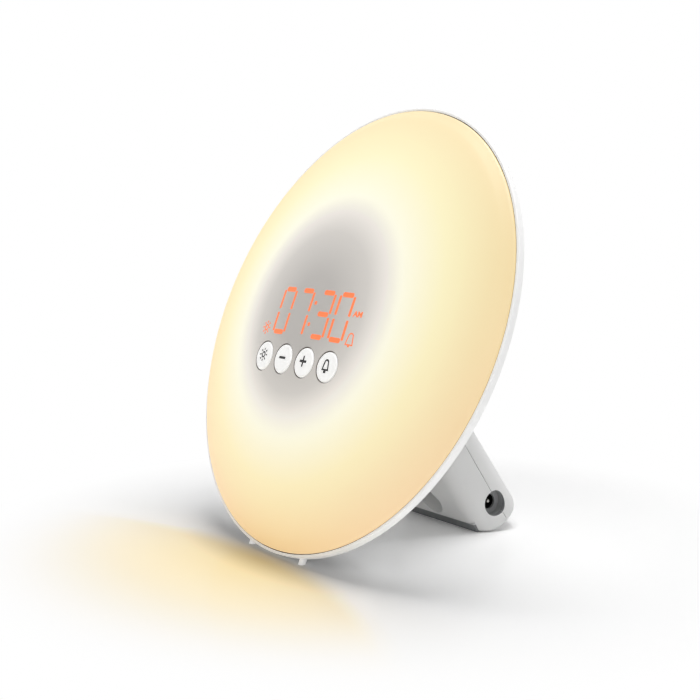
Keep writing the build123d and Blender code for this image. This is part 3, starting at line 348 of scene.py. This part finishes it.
# Glass fibres lie in the surface as short grey streaks
streaks = add(tree, "ShaderNodeMapping", inputs={0: spot, "Scale": (900.0, 240.0, 900.0)}).outputs[0]
fibre = add(tree, "ShaderNodeTexNoise", inputs={"Vector": streaks, "Scale": 1.0, "Detail": 3.0}).outputs[0]
colour = add(tree, "ShaderNodeMix", {"data_type": "RGBA"},
             {0: fibre, 6: linear("0E0E0F"), 7: linear("29292B")}).outputs[2]
tree.links.new(colour, shader.inputs["Base Color"])
dull = add(tree, "ShaderNodeMapRange", inputs={"Value": fibre, "To Min": 0.4, "To Max": 0.65}).outputs[0]
tree.links.new(dull, shader.inputs["Roughness"])
dress(nylon_black, "cell_holder")

nickel, tree, shader = start("nickel_plated_steel", Metallic=1.0)
spot = add(tree, "ShaderNodeTexCoord").outputs["Object"]
# Handling marks on the polished can, 2 to 4 mm long
marks = add(tree, "ShaderNodeTexNoise", inputs={"Vector": spot, "Scale": 380.0, "Detail": 4.0}).outputs[0]
colour = add(tree, "ShaderNodeMix", {"data_type": "RGBA"},
             {0: marks, 6: linear("C6C4BE"), 7: linear("D9D7D1")}).outputs[2]
tree.links.new(colour, shader.inputs["Base Color"])
dull = add(tree, "ShaderNodeMapRange", inputs={"Value": marks, "To Min": 0.14, "To Max": 0.34}).outputs[0]
tree.links.new(dull, shader.inputs["Roughness"])
dress(nickel, "backup_cell")

# ------------------------------------------------------ plugs and flat cable
# Headers and plugs of natural nylon, and the grey flat cable that joins the
# display board to the main board.
nylon, tree, shader = start("natural_nylon", IOR=1.53, Roughness=0.45, Subsurface_Weight=0.1)
spot = add(tree, "ShaderNodeTexCoord").outputs["Object"]
apart = add(tree, "ShaderNodeSeparateXYZ", inputs={0: spot}).outputs
# Painted shade stands for a slot for each contact, at a pitch of 2 mm
slots = add(tree, "ShaderNodeMath", {"operation": "PINGPONG"}, {0: apart["X"], 1: 0.001}).outputs[0]
slots = add(tree, "ShaderNodeMapRange", {"interpolation_type": "SMOOTHSTEP"},
            {"Value": slots, "From Min": 0.00018, "From Max": 0.00030}).outputs[0]
colour = add(tree, "ShaderNodeMix", {"data_type": "RGBA"},
             {0: slots, 6: linear("A69E88"), 7: linear("EDE6D2")}).outputs[2]
tree.links.new(colour, shader.inputs["Base Color"])
dress(nylon, "board_connectors")

flat_cable, tree, shader = start("grey_pvc_flat_cable", IOR=1.53, Roughness=0.45)
spot = add(tree, "ShaderNodeTexCoord").outputs["Object"]
apart = add(tree, "ShaderNodeSeparateXYZ", inputs={0: spot}).outputs
# Twelve conductors at a pitch of 1 mm, with a groove between each two that
# painted shade darkens
cores = add(tree, "ShaderNodeMath", {"operation": "PINGPONG"}, {0: apart["X"], 1: 0.0005}).outputs[0]
cores = add(tree, "ShaderNodeMapRange", {"interpolation_type": "SMOOTHSTEP"},
            {"Value": cores, "From Min": 0.0, "From Max": 0.00022}).outputs[0]
colour = add(tree, "ShaderNodeMix", {"data_type": "RGBA"},
             {0: cores, 6: linear("7E7E7E"), 7: linear("B4B4B3")}).outputs[2]
tree.links.new(colour, shader.inputs["Base Color"])
bump = add(tree, "ShaderNodeBump", inputs={"Height": cores, "Strength": 0.6, "Distance": 0.0001})
tree.links.new(bump.outputs[0], shader.inputs["Normal"])
dress(flat_cable, "ribbon_cable")

# ----------------------------------------------------------------- display
# An opaque grey mask with the windows, behind it the white block of the light
# guides, whose bars of tinted acrylic end in the windows.
grey_abs, tree, shader = start("matt_grey_abs", IOR=1.53, Roughness=0.62)
spot = add(tree, "ShaderNodeTexCoord").outputs["Object"]
# Etched mould face with a grain of 0.5 mm
etched = add(tree, "ShaderNodeTexNoise", inputs={"Vector": spot, "Scale": 2000.0, "Detail": 2.0}).outputs[0]
colour = add(tree, "ShaderNodeMix", {"data_type": "RGBA"},
             {0: etched, 6: linear("D2D0CC"), 7: linear("DEDCD8")}).outputs[2]
tree.links.new(colour, shader.inputs["Base Color"])
bump = add(tree, "ShaderNodeBump", inputs={"Height": etched, "Strength": 0.3, "Distance": 0.00003})
tree.links.new(bump.outputs[0], shader.inputs["Normal"])
dress(grey_abs, "display_mask")

guide_block, tree, shader = start("white_filled_polycarbonate", IOR=1.58, Roughness=0.5)
spot = add(tree, "ShaderNodeTexCoord").outputs["Object"]
# Ejector and weld lines leave a faint net of about 8 mm
net = add(tree, "ShaderNodeTexVoronoi", {"feature": "DISTANCE_TO_EDGE"}, {"Vector": spot, "Scale": 125.0})
line = add(tree, "ShaderNodeMapRange",
           inputs={"Value": net.outputs["Distance"], "From Min": 0.0, "From Max": 0.03}).outputs[0]
colour = add(tree, "ShaderNodeMix", {"data_type": "RGBA"},
             {0: line, 6: linear("DEDEDC"), 7: linear("ECECEA")}).outputs[2]
tree.links.new(colour, shader.inputs["Base Color"])
dress(guide_block, "display_module")

guide, tree, shader = start("tinted_acrylic_light_guide", IOR=1.49, Roughness=0.18, Transmission_Weight=0.4)
spot = add(tree, "ShaderNodeTexCoord").outputs["Object"]
# Scattering grains in the acrylic, 1.2 mm apart
grains = add(tree, "ShaderNodeTexNoise", inputs={"Vector": spot, "Scale": 830.0, "Detail": 2.0}).outputs[0]
colour = add(tree, "ShaderNodeMix", {"data_type": "RGBA"},
             {0: grains, 6: linear("F9B593"), 7: linear("FDCDB2")}).outputs[2]
tree.links.new(colour, shader.inputs["Base Color"])
dress(guide, "display_digits")

# ---------------------------------------------------------------- switches
# Four push switches: a black body under a pressed steel cover, and on each a
# black acetal plunger that the key above it pushes.
switch, tree, shader = start("switch_body_and_cover", Roughness=0.4)
spot = add(tree, "ShaderNodeTexCoord").outputs["Object"]
on_face = face_place(tree, spot)
apart = add(tree, "ShaderNodeSeparateXYZ", inputs={0: on_face}).outputs
# The rolled steel cover is the top half millimetre of the switch
cover = add(tree, "ShaderNodeMapRange",
            inputs={"Value": apart["Z"], "From Min": 0.00700, "From Max": 0.00705}).outputs[0]
rolled = add(tree, "ShaderNodeTexNoise", inputs={"Vector": spot, "Scale": 1200.0, "Detail": 2.0}).outputs[0]
steel = add(tree, "ShaderNodeMix", {"data_type": "RGBA"},
            {0: rolled, 6: linear("B4B6B8"), 7: linear("CBCDCE")}).outputs[2]
colour = add(tree, "ShaderNodeMix", {"data_type": "RGBA"},
             {0: cover, 6: linear("151516"), 7: steel}).outputs[2]
tree.links.new(colour, shader.inputs["Base Color"])
tree.links.new(cover, shader.inputs["Metallic"])
dress(switch, "push_switches")

acetal, tree, shader = start("black_acetal", IOR=1.48)
spot = add(tree, "ShaderNodeTexCoord").outputs["Object"]
# Sliding has polished the plunger in patches of 1 mm
wear_and_edge_highlight = add(tree, "ShaderNodeTexNoise", inputs={"Vector": spot, "Scale": 1000.0, "Detail": 2.0}).outputs[0]
colour = add(tree, "ShaderNodeMix", {"data_type": "RGBA"},
             {0: wear_and_edge_highlight, 6: linear("1C1C1D"), 7: linear("2A2A2C")}).outputs[2]
tree.links.new(colour, shader.inputs["Base Color"])
dull = add(tree, "ShaderNodeMapRange", inputs={"Value": wear_and_edge_highlight, "To Min": 0.22, "To Max": 0.45}).outputs[0]
tree.links.new(dull, shader.inputs["Roughness"])
dress(acetal, "plunger_light", "plunger_minus", "plunger_plus", "plunger_alarm")

# ---------------------------------------------------------------- diffuser
# The domed front is opal acrylic, moulded in one piece and lit from behind by
# the ring of diodes. The mask behind its middle keeps that part a plain grey.
opal, tree, shader = start("opal_acrylic", IOR=1.49, Roughness=0.42)
spot = add(tree, "ShaderNodeTexCoord").outputs["Object"]
# Across, up and out of the face, in units of the dome's radius
dome_radius = 0.0885
on_face = face_place(tree, spot, dome_radius)
radius = face_radius(tree, on_face)
apart = add(tree, "ShaderNodeSeparateXYZ", inputs={0: on_face}).outputs
# Pale over the upper half, a deeper sunrise amber towards the lower edge
low = add(tree, "ShaderNodeMapRange", {"interpolation_type": "SMOOTHSTEP"},
          {"Value": apart["Y"], "From Min": 0.45, "From Max": -0.90}).outputs[0]
rings = []
for stops in (
    ((0.16, "6F6D6B"), (0.36, "918E8A"), (0.46, "B1ADA7"),
     (0.54, "C8C7B0"), (0.74, "C5BD88"), (0.98, "B79E56")),
    ((0.16, "6F6D6B"), (0.36, "918E8A"), (0.46, "BEBAB2"),
     (0.54, "CAC8B0"), (0.74, "C9BB88"), (0.98, "C2A06A")),
):
    ramp = add(tree, "ShaderNodeValToRGB", inputs={0: radius})
    marks = ramp.color_ramp.elements
    marks[0].position, marks[0].color = stops[0][0], linear(stops[0][1])
    marks[1].position, marks[1].color = stops[-1][0], linear(stops[-1][1])
    for at, code in stops[1:-1]:
        marks.new(at).color = linear(code)
    rings.append(ramp.outputs[0])
glow = add(tree, "ShaderNodeMix", {"data_type": "RGBA"}, {0: low, 6: rings[0], 7: rings[1]}).outputs[2]
# The skirt below the face stands in the rim, where no light reaches it: it
# gets no glow, and painted shade darkens its colour
lit = add(tree, "ShaderNodeMapRange", {"interpolation_type": "SMOOTHSTEP"},
          {"Value": apart["Z"], "From Min": -0.006, "From Max": 0.0}).outputs[0]
# Nor does any reach the walls of the four button holes, 14.1 mm apart, which
# get the same painted shade, also in a thin dark ring just past each hole's
# edge. Their place is folded over, so that one round hole stands for all four,
# and the fold is cut off past the outer two
half_pitch = 0.0797
holes_below = 0.2203
row_end = 0.319
aside = add(tree, "ShaderNodeMath", {"operation": "SUBTRACT"}, {0: apart["X"], 1: half_pitch}).outputs[0]
aside = add(tree, "ShaderNodeMath", {"operation": "PINGPONG"}, {0: aside, 1: half_pitch}).outputs[0]
above = add(tree, "ShaderNodeMath", {"operation": "ADD"}, {0: apart["Y"], 1: holes_below}).outputs[0]
here = add(tree, "ShaderNodeCombineXYZ", inputs={0: aside, 1: above}).outputs[0]
off = add(tree, "ShaderNodeVectorMath", {"operation": "LENGTH"}, {0: here}).outputs["Value"]
hole_shade = add(tree, "ShaderNodeMapRange", {"interpolation_type": "SMOOTHSTEP"},
           {"Value": off, "From Min": 0.0670, "From Max": 0.0690}).outputs[0]
beyond = add(tree, "ShaderNodeMath", {"operation": "ABSOLUTE"}, {0: apart["X"]}).outputs[0]
beyond = add(tree, "ShaderNodeMath", {"operation": "GREATER_THAN"}, {0: beyond, 1: row_end}).outputs[0]
hole_shade = add(tree, "ShaderNodeMath", {"operation": "MAXIMUM"}, {0: hole_shade, 1: beyond}).outputs[0]
lit = add(tree, "ShaderNodeMath", {"operation": "MULTIPLY"}, {0: lit, 1: hole_shade}).outputs[0]
glow = add(tree, "ShaderNodeMix", {"data_type": "RGBA"}, {0: lit, 6: (0, 0, 0, 1), 7: glow}).outputs[2]
# Where no glow reaches, painted shade darkens the opal's colour
colour = add(tree, "ShaderNodeMix", {"data_type": "RGBA"},
             {0: lit, 6: linear("4A3A2C"), 7: linear("B4B0AB")}).outputs[2]
tree.links.new(colour, shader.inputs["Base Color"])
tree.links.new(glow, shader.inputs["Emission Color"])
shader.inputs["Emission Strength"].default_value = 1.17
# Frosting of 0.3 mm, drawn at 0.7 mm so that it shows
frost = add(tree, "ShaderNodeTexNoise", inputs={"Vector": spot, "Scale": 1400.0, "Detail": 1.0}).outputs[0]
bump = add(tree, "ShaderNodeBump", inputs={"Height": frost, "Strength": 0.15, "Distance": 0.00001})
tree.links.new(bump.outputs[0], shader.inputs["Normal"])
dress(opal, "diffuser_dome")


# ------------------------------------------------------------- lit display
# Numbers, colon, AM, sun and bell of the display, whose orange light comes
# through the opal front. They are thin plates that lie on its curve.
def bar(plates, across, up, width, height, rounding):
    """A bar with rounded corners, drawn in millimetres on the face."""
    made = bmesh.ops.create_grid(plates, x_segments=1, y_segments=1, size=0.5)["verts"]
    bmesh.ops.scale(plates, vec=(width, height, 1), verts=made)
    bmesh.ops.translate(plates, vec=(across, up, 0), verts=made)
    bmesh.ops.bevel(plates, geom=made, affect="VERTICES", offset=rounding, segments=4,
                    profile=0.5, material=-1)


def ring(plates, across, up, outer, inner):
    """A flat ring on the face."""
    loops = []
    for radius in (outer, inner):
        made = bmesh.ops.create_circle(plates, segments=32, radius=radius)["verts"]
        bmesh.ops.translate(plates, vec=(across, up, 0), verts=made)
        loops += {edge for vertex in made for edge in vertex.link_edges}
    bmesh.ops.bridge_loops(plates, edges=loops)


def sun(plates, across, up, size, stroke):
    """A ring with eight rays round it."""
    ring(plates, across, up, 0.50 * size, 0.50 * size - stroke)
    for turn in range(8):
        before = set(plates.verts)
        bar(plates, 0.84 * size, 0, 0.34 * size, stroke, 0.2 * stroke)
        ray = [vertex for vertex in plates.verts if vertex not in before]
        bmesh.ops.rotate(plates, cent=(0, 0, 0), matrix=Matrix.Rotation(turn * pi / 4, 3, "Z"), verts=ray)
        bmesh.ops.translate(plates, vec=(across, up, 0), verts=ray)


def bell(plates, across, up, width, height, stroke):
    """The outline of a bell with its clapper."""
    before = set(plates.faces)
    made = bmesh.ops.create_grid(plates, x_segments=1, y_segments=1, size=0.5)["verts"]
    for vertex in made:
        share = 0.58 if vertex.co.y > 0 else 1.0
        vertex.co = Vector((vertex.co.x * width * share, vertex.co.y * height, 0))
    bmesh.ops.translate(plates, vec=(across, up, 0), verts=made)
    crown = [vertex for vertex in made if vertex.co.y > up]
    bmesh.ops.bevel(plates, geom=crown, affect="VERTICES", offset=0.28 * width, segments=6,
                    profile=0.5, material=-1)
    body = [face for face in plates.faces if face not in before]
    bmesh.ops.inset_region(plates, faces=body, thickness=stroke, use_even_offset=True, use_boundary=True)
    bmesh.ops.delete(plates, geom=body, context="FACES_ONLY")
    bar(plates, across, up - 0.5 * height - 0.7 * stroke, 2.2 * stroke, 1.4 * stroke, 0.6 * stroke)


def lay(plates, carrier, half_thick, name, finish):
    """Flat plates get their thickness and lie half sunk in the carrier's curve."""
    bmesh.ops.recalc_face_normals(plates, faces=plates.faces)
    for face in plates.faces:
        if face.normal.z < 0:
            face.normal_flip()
    skin = bmesh.ops.extrude_face_region(plates, geom=plates.faces[:])["geom"]
    top = [item for item in skin if isinstance(item, bmesh.types.BMVert)]
    bmesh.ops.translate(plates, vec=(0, 0, 2 * half_thick), verts=top)
    bmesh.ops.translate(plates, vec=(0, 0, -half_thick), verts=plates.verts)
    bmesh.ops.recalc_face_normals(plates, faces=plates.faces)
    surface = BVHTree.FromObject(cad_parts[carrier], bpy.context.evaluated_depsgraph_get())
    out = Matrix.Translation(face_middle) @ face_turn.to_matrix().to_4x4()
    inwards = -(out.to_3x3() @ Vector((0, 0, 1)))
    for vertex in plates.verts:
        above = out @ Vector((vertex.co.x / 1000, vertex.co.y / 1000, 0.05))
        hit = surface.ray_cast(above, inwards)[0]
        vertex.co = hit - inwards * vertex.co.z / 1000
    mesh = bpy.data.meshes.new(name)
    plates.to_mesh(mesh)
    plates.free()
    return place(mesh, name, finish)


amber, tree, shader = start("amber_display_light", Roughness=0.42, IOR=1.49)
shader.inputs["Base Color"].default_value = linear("6E3A22")
spot = add(tree, "ShaderNodeTexCoord").outputs["Object"]
# The light guide is a little uneven along its bars
uneven = add(tree, "ShaderNodeTexNoise", inputs={"Vector": spot, "Scale": 300.0, "Detail": 1.0}).outputs[0]
colour = add(tree, "ShaderNodeMix", {"data_type": "RGBA"},
             {0: uneven, 6: linear("F8723C"), 7: linear("FC8249")}).outputs[2]
tree.links.new(colour, shader.inputs["Emission Color"])
shader.inputs["Emission Strength"].default_value = 1.0

plates = bmesh.new()
top_row, middle_row, bottom_row = 8.0, -0.4, -9.15
for middle, bars in (
    (-16.2, "top bottom upper_left upper_right lower_left lower_right"),
    (-4.0, "top upper_right lower_right"),
    (9.5, "top middle bottom upper_right lower_right"),
    (20.85, "top bottom upper_left upper_right lower_left lower_right"),
):
    for lit in bars.split():
        if lit in ("top", "middle", "bottom"):
            row = {"top": top_row, "middle": middle_row, "bottom": bottom_row}[lit]
            bar(plates, middle, row, 6.4, 1.9, 0.9)
        else:
            side = 4.0 if lit.endswith("right") else -4.0
            bar(plates, middle + side, 3.8 if lit.startswith("upper") else -5.2, 1.25, 7.5, 0.4)
bar(plates, 2.88, 3.60, 1.4, 1.4, 0.4)
bar(plates, 2.74, -4.79, 1.4, 1.4, 0.4)
sun(plates, -25.9, -8.1, 2.7, 0.55)
bell(plates, 29.2, -7.9, 4.3, 4.7, 0.45)
words = bpy.data.curves.new("half_of_day", "FONT")
words.body = "AM"
words.size = 2.9
words.offset = 0.1
words.align_x, words.align_y = "CENTER", "CENTER"
words.resolution_u = 3
letters = bpy.data.objects.new("half_of_day", words)
scene.collection.objects.link(letters)
bpy.context.view_layer.update()
outline = bpy.data.meshes.new_from_object(letters.evaluated_get(bpy.context.evaluated_depsgraph_get()))
bpy.data.objects.remove(letters)
before = set(plates.verts)
plates.from_mesh(outline)
written = [vertex for vertex in plates.verts if vertex not in before]
bmesh.ops.remove_doubles(plates, verts=written, dist=0.001)
written = [vertex for vertex in plates.verts if vertex not in before]
bmesh.ops.scale(plates, vec=(1.15, 1, 1), verts=written)
bmesh.ops.translate(plates, vec=(29.3, 1.3, 0), verts=written)
# All of it then moves 0.25 mm to the right and 0.25 mm down
bmesh.ops.translate(plates, vec=(0.25, -0.25, 0), verts=plates.verts)
shown = lay(plates, "diffuser_dome", 0.08, "lit_display", amber)
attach(shown, "root")

# ----------------------------------------------------------------- buttons
# Four round keys of glossy white ABS, polished in the mould, lit up a little
# by a painted glow. Each carries a dark printed sign.
key_abs, tree, shader = start("polished_white_abs", IOR=1.53, Coat_Weight=0.3, Emission_Strength=0.40)
spot = add(tree, "ShaderNodeTexCoord").outputs["Object"]
# Handling dulls the polish in patches of about 4 mm
worn = add(tree, "ShaderNodeTexNoise", inputs={"Vector": spot, "Scale": 250.0, "Detail": 2.0}).outputs[0]
colour = add(tree, "ShaderNodeMix", {"data_type": "RGBA"},
             {0: worn, 6: linear("F4F4F3"), 7: linear("FAFAF9")}).outputs[2]
tree.links.new(colour, shader.inputs["Base Color"])
tree.links.new(colour, shader.inputs["Emission Color"])
dull = add(tree, "ShaderNodeMapRange", inputs={"Value": worn, "To Min": 0.12, "To Max": 0.24}).outputs[0]
tree.links.new(dull, shader.inputs["Roughness"])
dress(key_abs, "button_light", "button_minus", "button_plus", "button_alarm")

print_ink, tree, shader = start("dark_printed_ink", IOR=1.5, Roughness=0.5)
spot = add(tree, "ShaderNodeTexCoord").outputs["Object"]
# The print is a little thinner in spots of 0.4 mm
pores = add(tree, "ShaderNodeTexNoise", inputs={"Vector": spot, "Scale": 2500.0, "Detail": 1.0}).outputs[0]
colour = add(tree, "ShaderNodeMix", {"data_type": "RGBA"},
             {0: pores, 6: linear("121213"), 7: linear("222223")}).outputs[2]
tree.links.new(colour, shader.inputs["Base Color"])

button_row = -19.45
for key, across in (("light", -21.15), ("minus", -7.05), ("plus", 7.05), ("alarm", 21.15)):
    plates = bmesh.new()
    # The print sits 0.2 mm to the left of the cap's middle and 0.3 mm above it
    sign_across = across - 0.2
    sign_up = button_row + 0.3
    if key == "light":
        sun(plates, sign_across, sign_up, 2.6, 0.62)
    elif key == "alarm":
        bell(plates, sign_across, sign_up + 0.3, 3.9, 4.3, 0.66)
    else:
        bar(plates, sign_across, sign_up, 4.2, 0.95, 0.1)
        if key == "plus":
            for side in (-1, 1):
                bar(plates, sign_across, sign_up + side * 1.29, 0.85, 1.63, 0.1)
    sign = lay(plates, "button_" + key, 0.04, "sign_" + key, print_ink)
    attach(sign, key + "_key")

# ----------------------------------------------------------------- speaker
# A small speaker on a foam ring behind the grille: pressed steel basket with
# a bright zinc coat, a sintered ferrite magnet and a cone of black paper.
dress(zinc, "speaker_frame")

foam, tree, shader = start("closed_cell_foam", Roughness=0.9)
spot = add(tree, "ShaderNodeTexCoord").outputs["Object"]
# Cells of 0.4 mm, drawn at 0.8 mm so that they show
cells = add(tree, "ShaderNodeTexVoronoi", inputs={"Vector": spot, "Scale": 1250.0}).outputs["Distance"]
colour = add(tree, "ShaderNodeMix", {"data_type": "RGBA"},
             {0: cells, 6: linear("121213"), 7: linear("2C2C2E")}).outputs[2]
tree.links.new(colour, shader.inputs["Base Color"])
bump = add(tree, "ShaderNodeBump", inputs={"Height": cells, "Strength": 0.8, "Distance": 0.0002})
tree.links.new(bump.outputs[0], shader.inputs["Normal"])
dress(foam, "speaker_gasket")

ferrite, tree, shader = start("sintered_ferrite", IOR=1.9, Roughness=0.42)
spot = add(tree, "ShaderNodeTexCoord").outputs["Object"]
# Ground faces show pits of 0.5 to 1 mm between the pressed grains
pits = add(tree, "ShaderNodeTexNoise", inputs={"Vector": spot, "Scale": 1300.0, "Detail": 4.0}).outputs[0]
colour = add(tree, "ShaderNodeMix", {"data_type": "RGBA"},
             {0: pits, 6: linear("1E1F22"), 7: linear("3C3D41")}).outputs[2]
tree.links.new(colour, shader.inputs["Base Color"])
bump = add(tree, "ShaderNodeBump", inputs={"Height": pits, "Strength": 0.4, "Distance": 0.0001})
tree.links.new(bump.outputs[0], shader.inputs["Normal"])
dress(ferrite, "speaker_magnet")

paper, tree, shader = start("black_pressed_paper", Roughness=0.85, Sheen_Weight=0.2)
spot = add(tree, "ShaderNodeTexCoord").outputs["Object"]
# Felted fibres, 2 to 3 mm long
fibres = add(tree, "ShaderNodeTexNoise", inputs={"Vector": spot, "Scale": 420.0, "Detail": 6.0,
                                                 "Distortion": 1.5}).outputs[0]
colour = add(tree, "ShaderNodeMix", {"data_type": "RGBA"},
             {0: fibres, 6: linear("151515"), 7: linear("343332")}).outputs[2]
tree.links.new(colour, shader.inputs["Base Color"])
bump = add(tree, "ShaderNodeBump", inputs={"Height": fibres, "Strength": 0.5, "Distance": 0.0001})
tree.links.new(bump.outputs[0], shader.inputs["Normal"])
dress(paper, "speaker_cone")


# --------------------------------------------------------------------- leg
# The hollow leg is two shells of the housing's white ABS, screwed together
# through a pocket. A dark grey rubber pad is pressed into its front edge.
socket_axis = (0, 0.035974, 0.01165)


def socket_radius(tree, spot):
    """How far from the axis of the power socket a place lies."""
    away = add(tree, "ShaderNodeVectorMath", {"operation": "SUBTRACT"},
               {0: spot, 1: socket_axis}).outputs[0]
    away = add(tree, "ShaderNodeVectorMath", {"operation": "MULTIPLY"}, {0: away, 1: (0, 1, 1)}).outputs[0]
    return add(tree, "ShaderNodeVectorMath", {"operation": "LENGTH"}, {0: away}).outputs["Value"]


leg_abs.name = "satin_white_abs_with_shaded_mouth"
tree = leg_abs.node_tree
shader = tree.nodes["Principled BSDF"]
cloudy = shader.inputs["Base Color"].links[0].from_socket
spot = add(tree, "ShaderNodeTexCoord").outputs["Object"]
off = socket_radius(tree, spot)
# The wall of the socket's mouth, 5.1 mm from its axis, is darkened to the
# cup's grey with painted shade
mouth_shade = add(tree, "ShaderNodeMapRange",
            inputs={"Value": off, "From Min": 0.00518, "From Max": 0.00513}).outputs[0]
# Only the right side has a socket
apart = add(tree, "ShaderNodeSeparateXYZ", inputs={0: spot}).outputs
right = add(tree, "ShaderNodeMath", {"operation": "GREATER_THAN"}, {0: apart["X"], 1: 0.0}).outputs[0]
mouth_shade = add(tree, "ShaderNodeMath", {"operation": "MULTIPLY"}, {0: mouth_shade, 1: right}).outputs[0]
colour = add(tree, "ShaderNodeMix", {"data_type": "RGBA"},
             {0: mouth_shade, 6: cloudy, 7: linear("8A8B8C")}).outputs[2]
tree.links.new(colour, shader.inputs["Base Color"])
dress(leg_abs, "leg_front_shell", "leg_rear_shell")

rubber, tree, shader = start("dark_grey_rubber", IOR=1.52, Roughness=0.7)
spot = add(tree, "ShaderNodeTexCoord").outputs["Object"]
apart = add(tree, "ShaderNodeSeparateXYZ", inputs={0: spot}).outputs
# Dust and rubbing lift the colour in clouds of 5 mm
dust = add(tree, "ShaderNodeTexNoise", inputs={"Vector": spot, "Scale": 200.0, "Detail": 4.0}).outputs[0]
colour = add(tree, "ShaderNodeMix", {"data_type": "RGBA"},
             {0: dust, 6: linear("828385"), 7: linear("929395")}).outputs[2]
# The upper edge of what shows, about 0.4 mm of it, is a pale painted highlight
wear_and_edge_highlight = add(tree, "ShaderNodeMapRange", {"interpolation_type": "SMOOTHSTEP"},
             {"Value": apart["Z"], "From Min": 0.0030, "From Max": 0.0034}).outputs[0]
colour = add(tree, "ShaderNodeMix", {"data_type": "RGBA"},
             {0: wear_and_edge_highlight, 6: colour, 7: linear("DCDCDC")}).outputs[2]
tree.links.new(colour, shader.inputs["Base Color"])
bump = add(tree, "ShaderNodeBump", inputs={"Height": dust, "Strength": 0.3, "Distance": 0.0001})
tree.links.new(bump.outputs[0], shader.inputs["Normal"])
dress(rubber, "leg_foot_pad")

# ------------------------------------------------------------ power socket
# A cup of grey polyester sits behind the hole in the leg's side. In its floor
# opens the black jack, with a nickel-plated brass pin on its axis.
grey_pbt, tree, shader = start("grey_polyester", IOR=1.55, Roughness=0.48)
spot = add(tree, "ShaderNodeTexCoord").outputs["Object"]
# Plugs have rubbed faint marks of 1 to 2 mm into the cup
scuffs = add(tree, "ShaderNodeTexNoise", inputs={"Vector": spot, "Scale": 700.0, "Detail": 3.0}).outputs[0]
colour = add(tree, "ShaderNodeMix", {"data_type": "RGBA"},
             {0: scuffs, 6: linear("9A9B9C"), 7: linear("A8A9AA")}).outputs[2]
tree.links.new(colour, shader.inputs["Base Color"])
dress(grey_pbt, "socket_cup")

black_pbt, tree, shader = start("black_polyester", IOR=1.55, Roughness=0.5)
spot = add(tree, "ShaderNodeTexCoord").outputs["Object"]
# Moulding texture of 1 mm
grain = add(tree, "ShaderNodeTexNoise", inputs={"Vector": spot, "Scale": 1000.0, "Detail": 2.0}).outputs[0]
colour = add(tree, "ShaderNodeMix", {"data_type": "RGBA"},
             {0: grain, 6: linear("060606"), 7: linear("101011")}).outputs[2]
tree.links.new(colour, shader.inputs["Base Color"])
dress(black_pbt, "power_jack")

contact, tree, shader = start("nickel_plated_brass", Metallic=1.0)
spot = add(tree, "ShaderNodeTexCoord").outputs["Object"]
off = socket_radius(tree, spot)
# The pin's tip, within 0.5 mm of its axis, is bright; further out the metal
# is dark and duller, along the pin's sides and on the tabs
dark_beyond_tip = add(tree, "ShaderNodeMapRange", {"interpolation_type": "SMOOTHSTEP"},
              {"Value": off, "From Min": 0.00045, "From Max": 0.00075}).outputs[0]
colour = add(tree, "ShaderNodeMix", {"data_type": "RGBA"},
             {0: dark_beyond_tip, 6: linear("B9B8B4"), 7: linear("3A3936")}).outputs[2]
tree.links.new(colour, shader.inputs["Base Color"])
dull = add(tree, "ShaderNodeMapRange", inputs={"Value": dark_beyond_tip, "To Min": 0.25, "To Max": 0.5}).outputs[0]
tree.links.new(dull, shader.inputs["Roughness"])
dress(contact, "jack_pin", "jack_tabs")

# ------------------------------------------------------------------- wires
# Stranded copper in soft PVC: red and black from the jack up the leg, white
# for the lamp and the speaker.
for name, shade, tint, wires in (
    ("red_pvc_insulation", "8E0F0C", "A51915", ("power_lead_positive",)),
    ("black_pvc_insulation", "0B0B0C", "1A1A1B", ("power_lead_negative",)),
    ("white_pvc_insulation", "DADAD8", "E8E8E6", ("light_leads", "speaker_leads")),
):
    insulation, tree, shader = start(name, IOR=1.53, Roughness=0.4)
    spot = add(tree, "ShaderNodeTexCoord").outputs["Object"]
    # The strands press through as ripples of 1.2 mm
    ripple = add(tree, "ShaderNodeTexNoise",
                 inputs={"Vector": spot, "Scale": 830.0, "Detail": 1.0}).outputs[0]
    colour = add(tree, "ShaderNodeMix", {"data_type": "RGBA"},
                 {0: ripple, 6: linear(shade), 7: linear(tint)}).outputs[2]
    tree.links.new(colour, shader.inputs["Base Color"])
    bump = add(tree, "ShaderNodeBump", inputs={"Height": ripple, "Strength": 0.4, "Distance": 0.0001})
    tree.links.new(bump.outputs[0], shader.inputs["Normal"])
    dress(insulation, *wires)
